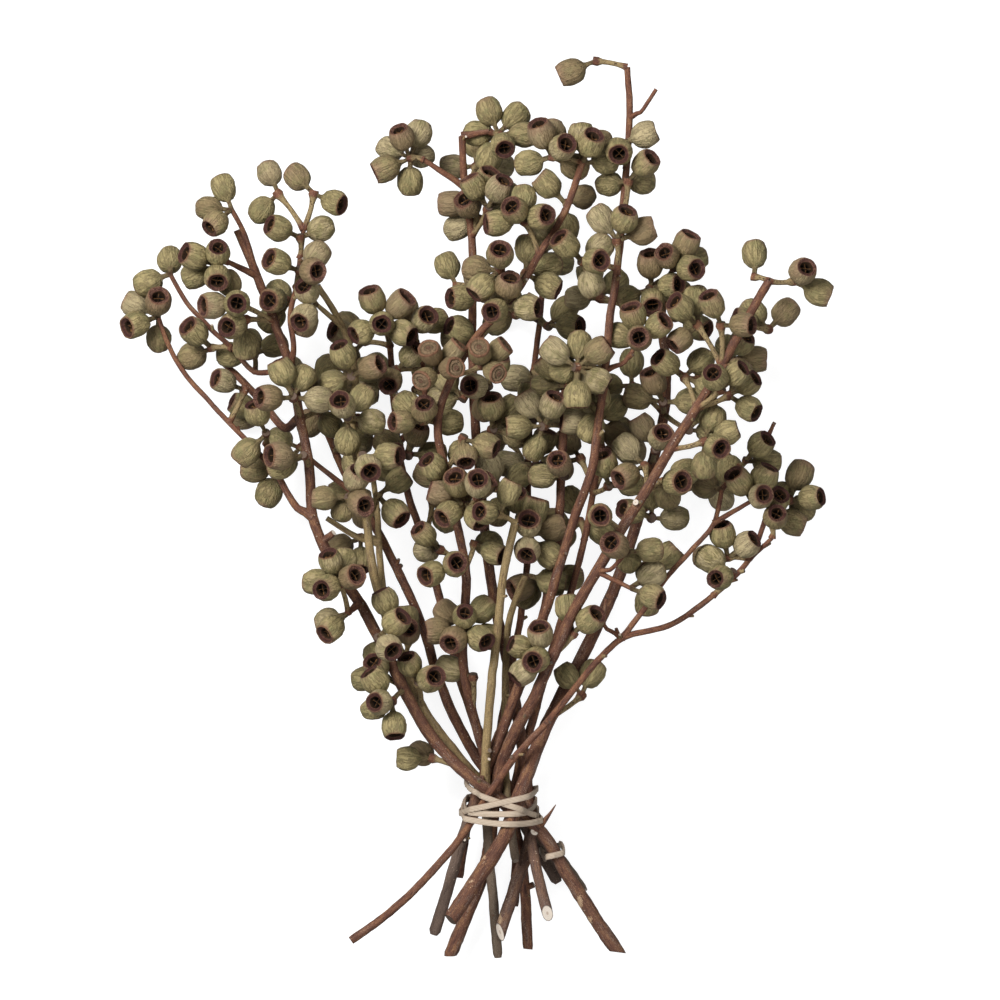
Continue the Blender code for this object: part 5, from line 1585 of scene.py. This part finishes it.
@dataclass
class Wood:
    """The lengths of wood of one branch: its stem, its twigs, its stubs and the stalks of its umbels."""

    settled: Settling
    number: int
    branch: Branch
    spur_spacing: float = 46.0
    lengths: list[Length] = field(default_factory=list)

    def gather(self) -> None:
        """Collects every length of the branch's wood."""
        bones = self.settled.bones
        at = self.settled.at
        ending = ENDINGS.get(self.branch.name, Ending())
        runs = [run for run in bones.runs if run[0] == self.number]
        for place, (_, ids, radii) in enumerate(runs):
            points = at[list(ids)]
            radii = np.array(radii)
            if place:
                points, radii = self._flared(points, radii)
            youth = np.clip(1.25 - radii / 2.6, 0.0, 0.72)
            made = Length(points, radii, youth)
            if not place:
                made.slant, made.blunt, made.fresh = ending.slant, ending.blunt, (ending.fresh, ending.top_fresh)
            self.lengths.append(made)
        middles, radii = self._fine_line()
        for stub in STUBS.get(self.branch.name, ()):
            self._add_stub(stub, middles, radii)
        self._add_spurs(middles, radii)
        for owner, root, hub in bones.stalks:
            if owner == self.number:
                self._add_stalk(at[root], at[hub])

    @staticmethod
    def _flared(points: np.ndarray, radii: np.ndarray) -> tuple[np.ndarray, np.ndarray]:
        """A twig with a thicker foot where it leaves the wood that carries it."""
        way = points[1] - points[0]
        way = way / np.linalg.norm(way)
        points = np.insert(points, 1, points[0] + way * 5.0, axis=0)
        radii = np.insert(radii, 1, radii[0] * 1.12)
        radii[0] *= 1.45
        return points, radii

    def _fine_line(self) -> tuple[np.ndarray, np.ndarray]:
        """Points along the wood so far, about a millimetre apart, and the radius at each."""
        middles, radii = [], []
        for length in self.lengths:
            held = np.concatenate((length.points[:1], length.points, length.points[-1:]))
            for place in range(len(length.points) - 1):
                before, first, second, after = held[place:place + 4]
                count = max(2, int(np.linalg.norm(second - first)))
                t = np.linspace(0, 1, count, endpoint=False)[:, None]
                bend = (2 * before - 5 * first + 4 * second - after) * t * t
                turn = (3 * (first - second) + after - before) * t ** 3
                middles.append((2 * first + (second - before) * t + bend + turn) / 2)
                radii.append(length.radii[place] + (length.radii[place + 1] - length.radii[place]) * t[:, 0])
        return np.concatenate(middles), np.concatenate(radii)

    def _add_stub(self, stub: Stub, middles: np.ndarray, radii: np.ndarray) -> None:
        """A short side piece that stands on the nearest wood."""
        spot = np.array(stub.spot) + self.settled.shift[:2]
        near = int(np.argmin(np.linalg.norm(middles[:, :2] - spot, axis=1)))
        way = np.array(stub.way) / np.linalg.norm(stub.way)
        start = middles[near]
        reach = radii[near] + stub.length
        shares = np.array((0.0, 0.5, 1.0))
        side = np.cross(way, (0.2, 0.3, 0.9)) * 0.06 * stub.length
        points = start + way * (reach * shares)[:, None] + side * np.sin(shares * 2.6)[:, None]
        widths = np.array((stub.foot * 1.15, (stub.foot + stub.tip) / 2, stub.tip))
        youth = np.full(3, stub.youth)
        self.lengths.append(Length(points, widths, youth, 0.2, fresh=(0.0, stub.fresh)))

    def _add_spurs(self, middles: np.ndarray, radii: np.ndarray) -> None:
        """Small spurs where leaves and stalks have come off, here and there along the twigs."""
        draw = random.Random(SEED + 100 + self.number)
        slim = np.nonzero(radii < 3.2)[0]
        for _ in range(int(len(slim) / self.spur_spacing)):
            near = int(draw.choice(slim[4:-6]))
            along = middles[min(near + 2, len(middles) - 1)] - middles[near]
            along = along / max(np.linalg.norm(along), 1e-6)
            turn = draw.uniform(0, math.tau)
            side = np.cross(along, (math.cos(turn), math.sin(turn), 0.4))
            way = side / max(np.linalg.norm(side), 1e-6) + along * draw.uniform(0.3, 1.1)
            way = way / np.linalg.norm(way)
            reach = radii[near] + draw.uniform(0.6, 3.2)
            points = middles[near] + way * (reach * np.array((0.0, 0.6, 1.0)))[:, None]
            widths = np.array((1.25, 0.95, 0.75)) * draw.uniform(0.8, 1.2)
            youth = np.full(3, draw.choice((0.5, 0.85, 0.95)))
            self.lengths.append(Length(points, widths, youth, 0.2, fresh=(0.0, draw.uniform(0.1, 0.9))))

    def _add_stalk(self, root: np.ndarray, hub: np.ndarray) -> None:
        """A stalk that is knobbly where its nuts leave it."""
        way = (hub - root) / np.linalg.norm(hub - root)
        side = np.cross(way, (0.3, 0.2, 0.9))
        side = side / max(np.linalg.norm(side), 1e-6)
        shares = np.array((0.0, 0.2, 0.5, 0.78, 0.92, 1.0))
        points = root + (hub - root) * shares[:, None] + side * (0.7 * np.sin(shares * math.pi))[:, None]
        points = np.concatenate((points, [hub + way * 1.7]))
        radii = np.array((2.0, 1.4, 1.3, 1.4, 2.1, 2.85, 2.2))
        youth = np.array((0.62, 0.86, 0.95, 0.95, 0.84, 0.66, 0.60))
        self.lengths.append(Length(points, radii, youth, 0.3))

    def mesh(self, tree: WoodTree) -> bpy.types.Mesh:
        """The wood as one mesh."""
        ending = ENDINGS.get(self.branch.name, Ending())
        points, edges, slants = [], [], []
        names = ("thick", "youth", "loose", "start", "turn", "age", "fresh", "blunt")
        values: dict[str, list] = {name: [] for name in names}
        for place, length in enumerate(self.lengths):
            first = len(points)
            count = len(length.points)
            points.extend(length.points * METRES)
            edges.extend((first + step, first + step + 1) for step in range(count - 1))
            slants.extend([length.slant] * count)
            values["thick"].extend(length.radii * METRES)
            values["youth"].extend(length.youth)
            values["loose"].extend([0.0] + [length.loose] * (count - 2) + [0.0])
            values["start"].extend([0.37 * place + 1.7 * self.number] * count)
            values["turn"].extend([0.011 * place] * count)
            values["age"].extend(ending.greyness * np.clip((AGED_ABOVE - length.points[:, 1]) / AGED_OVER, 0, 1))
            values["fresh"].extend([length.fresh[0]] + [0.0] * (count - 2) + [length.fresh[1]])
            values["blunt"].extend([length.blunt] * count)
        base = placed("wood_lines", plain_mesh("wood_lines", np.array(points), edges, ()))
        for name, numbers in values.items():
            give(base.data, name, "FLOAT", numbers)
        give(base.data, "slant", "FLOAT_VECTOR", slants)
        made = tree.mesh_from(base, {"Step": 0.0022, "Bow": 0.0010, "Knobs": 0.26, "Slant length": 0.014})
        self._mark_scars(made)
        return made

    def _mark_scars(self, mesh: bpy.types.Mesh) -> None:
        """Gives the points of the mesh how bare of bark they are."""
        places = np.empty(len(mesh.vertices) * 3, np.float32)
        mesh.vertices.foreach_get("co", places)
        places = places.reshape(-1, 3) / METRES
        bare = np.zeros(len(places))
        for scar in SCARS.get(self.branch.name, ()):
            spot = np.array(scar.spot) + self.settled.shift[:2]
            off = np.abs(places[:, :2] - spot)
            near = 1 - np.hypot(off[:, 0] / scar.width, off[:, 1] / scar.reach)
            bare = np.maximum(bare, np.clip(near, 0, 1))
        give(mesh, "scar", "FLOAT", bare)


@dataclass
class BranchDressing:
    """The fine wood and nuts that stand for one branch's solid."""

    settled: Settling
    number: int
    branch: Branch
    draw: random.Random

    def dress(self, wood: WoodTree, nuts: NutTree, forms: bpy.types.Collection, finishes: dict) -> None:
        """Makes both pieces.

        Args:
            wood: The tree that makes wood.
            nuts: The tree that makes nuts.
            forms: The nut forms.
            finishes: The materials by name.
        """
        lengths = Wood(self.settled, self.number, self.branch)
        lengths.gather()
        mesh = lengths.mesh(wood)
        self._finish("wood", mesh, finishes[self.branch.bark])
        mesh = self._nut_mesh(nuts, forms)
        if mesh is not None:
            self._finish("nuts", mesh, finishes[Form.ROUND])

    def _finish(self, kind: str, mesh: bpy.types.Mesh, material: bpy.types.Material) -> None:
        """Puts one piece in the scene in place of the solid."""
        mesh.materials.clear()
        mesh.materials.append(material)
        piece = placed(f"{self.branch.name}_{kind}", mesh)
        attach(piece, BODY)
        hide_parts(self.branch.name)
        LOG.info("%s: %d faces", piece.name, len(mesh.polygons))

    def _nut_mesh(self, tree: NutTree, forms: bpy.types.Collection) -> bpy.types.Mesh | None:
        """The branch's nuts as one mesh, or None if it has none."""
        at = self.settled.at
        mine = [nut for nut in self.settled.bones.nuts if nut.branch == self.number]
        if not mine:
            return None
        ways, sizes, kinds = [], [], []
        for nut in mine:
            way = at[nut.middle] - at[nut.hub]
            ways.append(way / np.linalg.norm(way))
            tall = self.draw.uniform(0.95, 1.03)
            sizes.append((nut.size * self.draw.uniform(0.97, 1.03), nut.size * self.draw.uniform(0.97, 1.03), nut.size * tall))
            kind = self.draw.choice((Form.ROUND, Form.ROUND, Form.BARREL, Form.URN))
            kinds.append(Form.SEALED.value if "=" in nut.token else kind.value)
        spots = np.array([at[nut.middle] for nut in mine]) * METRES
        base = placed("nut_points", plain_mesh("nut_points", spots, (), ()))
        give(base.data, "way", "FLOAT_VECTOR", ways)
        give(base.data, "size", "FLOAT_VECTOR", sizes)
        give(base.data, "form", "INT", kinds)
        give(base.data, "spin", "FLOAT", [self.draw.uniform(0, math.tau) for _ in mine])
        give(base.data, "seed", "FLOAT", [self.draw.random() for _ in mine])
        sizes = {"Dents": 0.0018, "Dent size": 95.0, "Folds": 0.0010, "Fold size": 330.0}
        return tree.mesh_from(base, {"Forms": forms, **sizes})


@dataclass
class Band:
    """An elastic band wound round the stems, each turn a flat strap with rounded edges."""

    name: str
    courses: tuple[tuple[float, float, float], ...]
    round_branches: tuple[str, ...]
    steps: int = 144
    sides: int = 14
    thickness: float = 1.0
    rise: float = 0.3

    def samples(self, settled: Settling, branches: Sequence[Branch]) -> tuple[np.ndarray, np.ndarray]:
        """Middles and radii along the wood inside the band, a millimetre apart."""
        middles, radii = [], []
        for number, ids, widths in settled.bones.runs:
            if self.round_branches and branches[number].name not in self.round_branches:
                continue
            points = settled.at[list(ids)]
            for first, second, thick, thin in zip(points, points[1:], widths, widths[1:]):
                share = np.linspace(0, 1, max(2, int(np.linalg.norm(second - first))))[:, None]
                middles.append(first + (second - first) * share)
                radii.append(thick + (thin - thick) * share[:, 0])
        return np.concatenate(middles), np.concatenate(radii)

    @staticmethod
    def reach(samples: tuple[np.ndarray, np.ndarray], centre: np.ndarray, height: float, angle: float) -> float:
        """How far the stems' outline reaches from the centre."""
        middles, radii = samples
        near = np.abs(middles[:, 1] - height) < BAND_WIDTH
        flat = middles[near][:, (0, 2)] - centre
        leans = np.radians(np.arange(-75, 76, 5))
        ways = np.stack((np.cos(angle + leans), np.sin(angle + leans)), 1)
        support = (flat @ ways.T + radii[near][:, None]).max(0)
        return float((support / np.cos(leans)).min())

    def section(self) -> list[tuple[float, float]]:
        """Steps outwards and sideways round a strap's section, whose edges are rounded."""
        spots = []
        for place in range(self.sides):
            angle = math.tau * (place + 0.5) / self.sides
            across = math.copysign(abs(math.cos(angle)) ** 0.35, math.cos(angle))
            outward = math.copysign(abs(math.sin(angle)) ** 0.55, math.sin(angle))
            spots.append(((1 + outward) * self.thickness / 2, across * BAND_WIDTH / 2))
        return spots

    def dress(self, settled: Settling, branches: Sequence[Branch], material: bpy.types.Material) -> None:
        """Makes the band and puts it in place of its solid."""
        samples = self.samples(settled, branches)
        level = np.mean([course[0] for course in self.courses]) + settled.shift[1]
        near = np.abs(samples[0][:, 1] - level) < BAND_WIDTH
        flat = samples[0][near][:, (0, 2)]
        centre = (flat.min(0) + flat.max(0)) / 2
        points, strap, faces = [], [], []
        for turn, course in enumerate(self.courses):
            self._wind(samples, centre, settled.shift[1], turn, course, points, strap, faces)
        mesh = plain_mesh(self.name, np.array(points) * METRES, (), faces)
        give(mesh, "strap", "FLOAT_VECTOR", strap)
        mesh.polygons.foreach_set("use_smooth", [True] * len(mesh.polygons))
        mesh.materials.append(material)
        piece = placed(self.name + "_straps", mesh)
        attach(piece, BODY)
        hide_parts(self.name)
        LOG.info("%s: %d faces", piece.name, len(mesh.polygons))

    def _wind(self, samples: tuple, centre: np.ndarray, shift: float, turn: int, course: Point,
              points: list, strap: list, faces: list) -> None:
        """Adds one closed turn."""
        middle, gain_right, gain_top = course
        section = self.section()
        first = len(points)
        angles = np.arange(self.steps) * math.tau / self.steps
        heights = middle + shift + gain_right * np.cos(angles) + gain_top * np.sin(angles)
        inner = np.array([self.reach(samples, centre, height, angle) for height, angle in zip(heights, angles)])
        inner = inner + BAND_GAP + turn * self.rise
        along = 0.0
        for place, (angle, height, reach) in enumerate(zip(angles, heights, inner)):
            along += reach * math.tau / self.steps
            for out, side in section:
                spot = reach + out
                points.append((centre[0] + spot * math.cos(angle), height + side, centre[1] + spot * math.sin(angle)))
                strap.append((side, along + 61.0 * turn, out))
        count = len(section)
        for place in range(self.steps):
            low = first + place * count
            high = first + (place + 1) % self.steps * count
            for corner in range(count):
                after = (corner + 1) % count
                faces.append((low + corner, low + after, high + after, high + corner))


@dataclass
class Studio:
    """A pale floor, soft light from the upper left and a camera that looks straight down."""

    middle: Point = (0.0118, 0.0056, 0.060)
    frame_width: float = 0.500
    distance: float = 12.0
    key_power: float = 104.0
    fill_power: float = 24.0
    world_strength: float = 0.30

    def build(self) -> None:
        """Makes everything that isn't part of the object."""
        bpy.context.scene.view_settings.view_transform = "Standard"
        self._floor()
        self._light("key_light", (-1.15, 1.05, 2.1), 1.1, self.key_power)
        self._light("fill_light", (1.3, -0.9, 2.2), 1.8, self.fill_power)
        self._world()
        self._camera()

    def _floor(self) -> None:
        """The floor, wide enough for every view. It throws no light back at the bunch."""
        half = 3.0
        corners = np.array([(-half, -half, 0), (half, -half, 0), (half, half, 0), (-half, half, 0)])
        floor = placed("floor", plain_mesh("floor", corners - np.array((0, 0, 0.0001)), (), [(0, 1, 2, 3)]))
        floor.data.materials.append(FloorFinish().material())
        floor.visible_diffuse = False
        floor.visible_glossy = False

    def _light(self, name: str, spot: Point, size: float, power: float) -> None:
        """A square soft light aimed at the bunch."""
        light = bpy.data.lights.new(name, "AREA")
        light.shape = "SQUARE"
        light.size = size
        light.energy = power
        lamp = bpy.data.objects.new(name, light)
        lamp.location = spot
        lamp.rotation_euler = (Vector(self.middle) - Vector(spot)).to_track_quat("-Z", "Y").to_euler()
        bpy.context.scene.collection.objects.link(lamp)

    def _world(self) -> None:
        """A dim even surround that the camera sees as white."""
        world = bpy.data.worlds.new("surround")
        world.use_nodes = True
        surround = Graph(world.node_tree)
        seen = surround.make("ShaderNodeLightPath", {}, {}, "Is Camera Ray")
        strength = self.world_strength + seen * (1.0 - self.world_strength)
        world.node_tree.links.new(strength.socket, world.node_tree.nodes["Background"].inputs["Strength"])
        world.node_tree.nodes["Background"].inputs["Color"].default_value = (1.0, 1.0, 1.0, 1.0)
        bpy.context.scene.world = world

    def _camera(self) -> None:
        """The camera."""
        lens = bpy.data.cameras.new("camera")
        lens.sensor_width = 36.0
        lens.lens = 36.0 * self.distance / self.frame_width
        lens.clip_end = 40.0
        camera = bpy.data.objects.new("camera", lens)
        x, y, z = self.middle
        camera.location = (x, y, z + self.distance)
        bpy.context.scene.collection.objects.link(camera)
        bpy.context.scene.camera = camera


MAROON_BARK = BarkFinish(
    slot=Bark.MAROON,
    old=(0.116, 0.051, 0.031),
    young=(0.138, 0.056, 0.032),
    warm=(0.220, 0.112, 0.054),
    dusk=(0.068, 0.029, 0.021),
    stalk=(0.245, 0.180, 0.088),
    grey=(0.190, 0.140, 0.112),
    dark=(0.028, 0.012, 0.009),
    fleck=(0.400, 0.300, 0.220),
    weathered=(0.118, 0.084, 0.066),
    grey_share=0.03,
    fleck_share=0.24,
)
OLIVE_BARK = BarkFinish(
    slot=Bark.OLIVE,
    old=(0.235, 0.165, 0.078),
    young=(0.250, 0.182, 0.085),
    warm=(0.315, 0.225, 0.105),
    dusk=(0.160, 0.112, 0.058),
    stalk=(0.235, 0.172, 0.080),
    grey=(0.215, 0.180, 0.135),
    dark=(0.085, 0.040, 0.022),
    fleck=(0.130, 0.055, 0.030),
    weathered=(0.112, 0.082, 0.062),
    grey_share=0.02,
    fleck_share=0.45,
)


def main() -> None:
    """Builds the bunch piece by piece, then the studio."""
    logging.basicConfig(level=logging.INFO, format="%(message)s", stream=sys.stdout)
    settled = Settling(grown(BRANCHES))
    settled.run()
    finishes = {Bark.MAROON: MAROON_BARK.material(), Bark.OLIVE: OLIVE_BARK.material(), Form.ROUND: NutFinish().material()}
    wood, nuts, forms = WoodTree(), NutTree(), NutForms().collection()
    draw = random.Random(SEED + 2)
    for number, branch in enumerate(BRANCHES):
        BranchDressing(settled, number, branch, draw).dress(wood, nuts, forms, finishes)
    rubber = RubberFinish().material()
    Band("elastic_band", MAIN_STRANDS, ()).dress(settled, BRANCHES, rubber)
    Band("small_elastic_band", SMALL_STRANDS, SMALL_BAND_BRANCHES).dress(settled, BRANCHES, rubber)
    Studio().build()


if __name__ == "__main__":
    main()
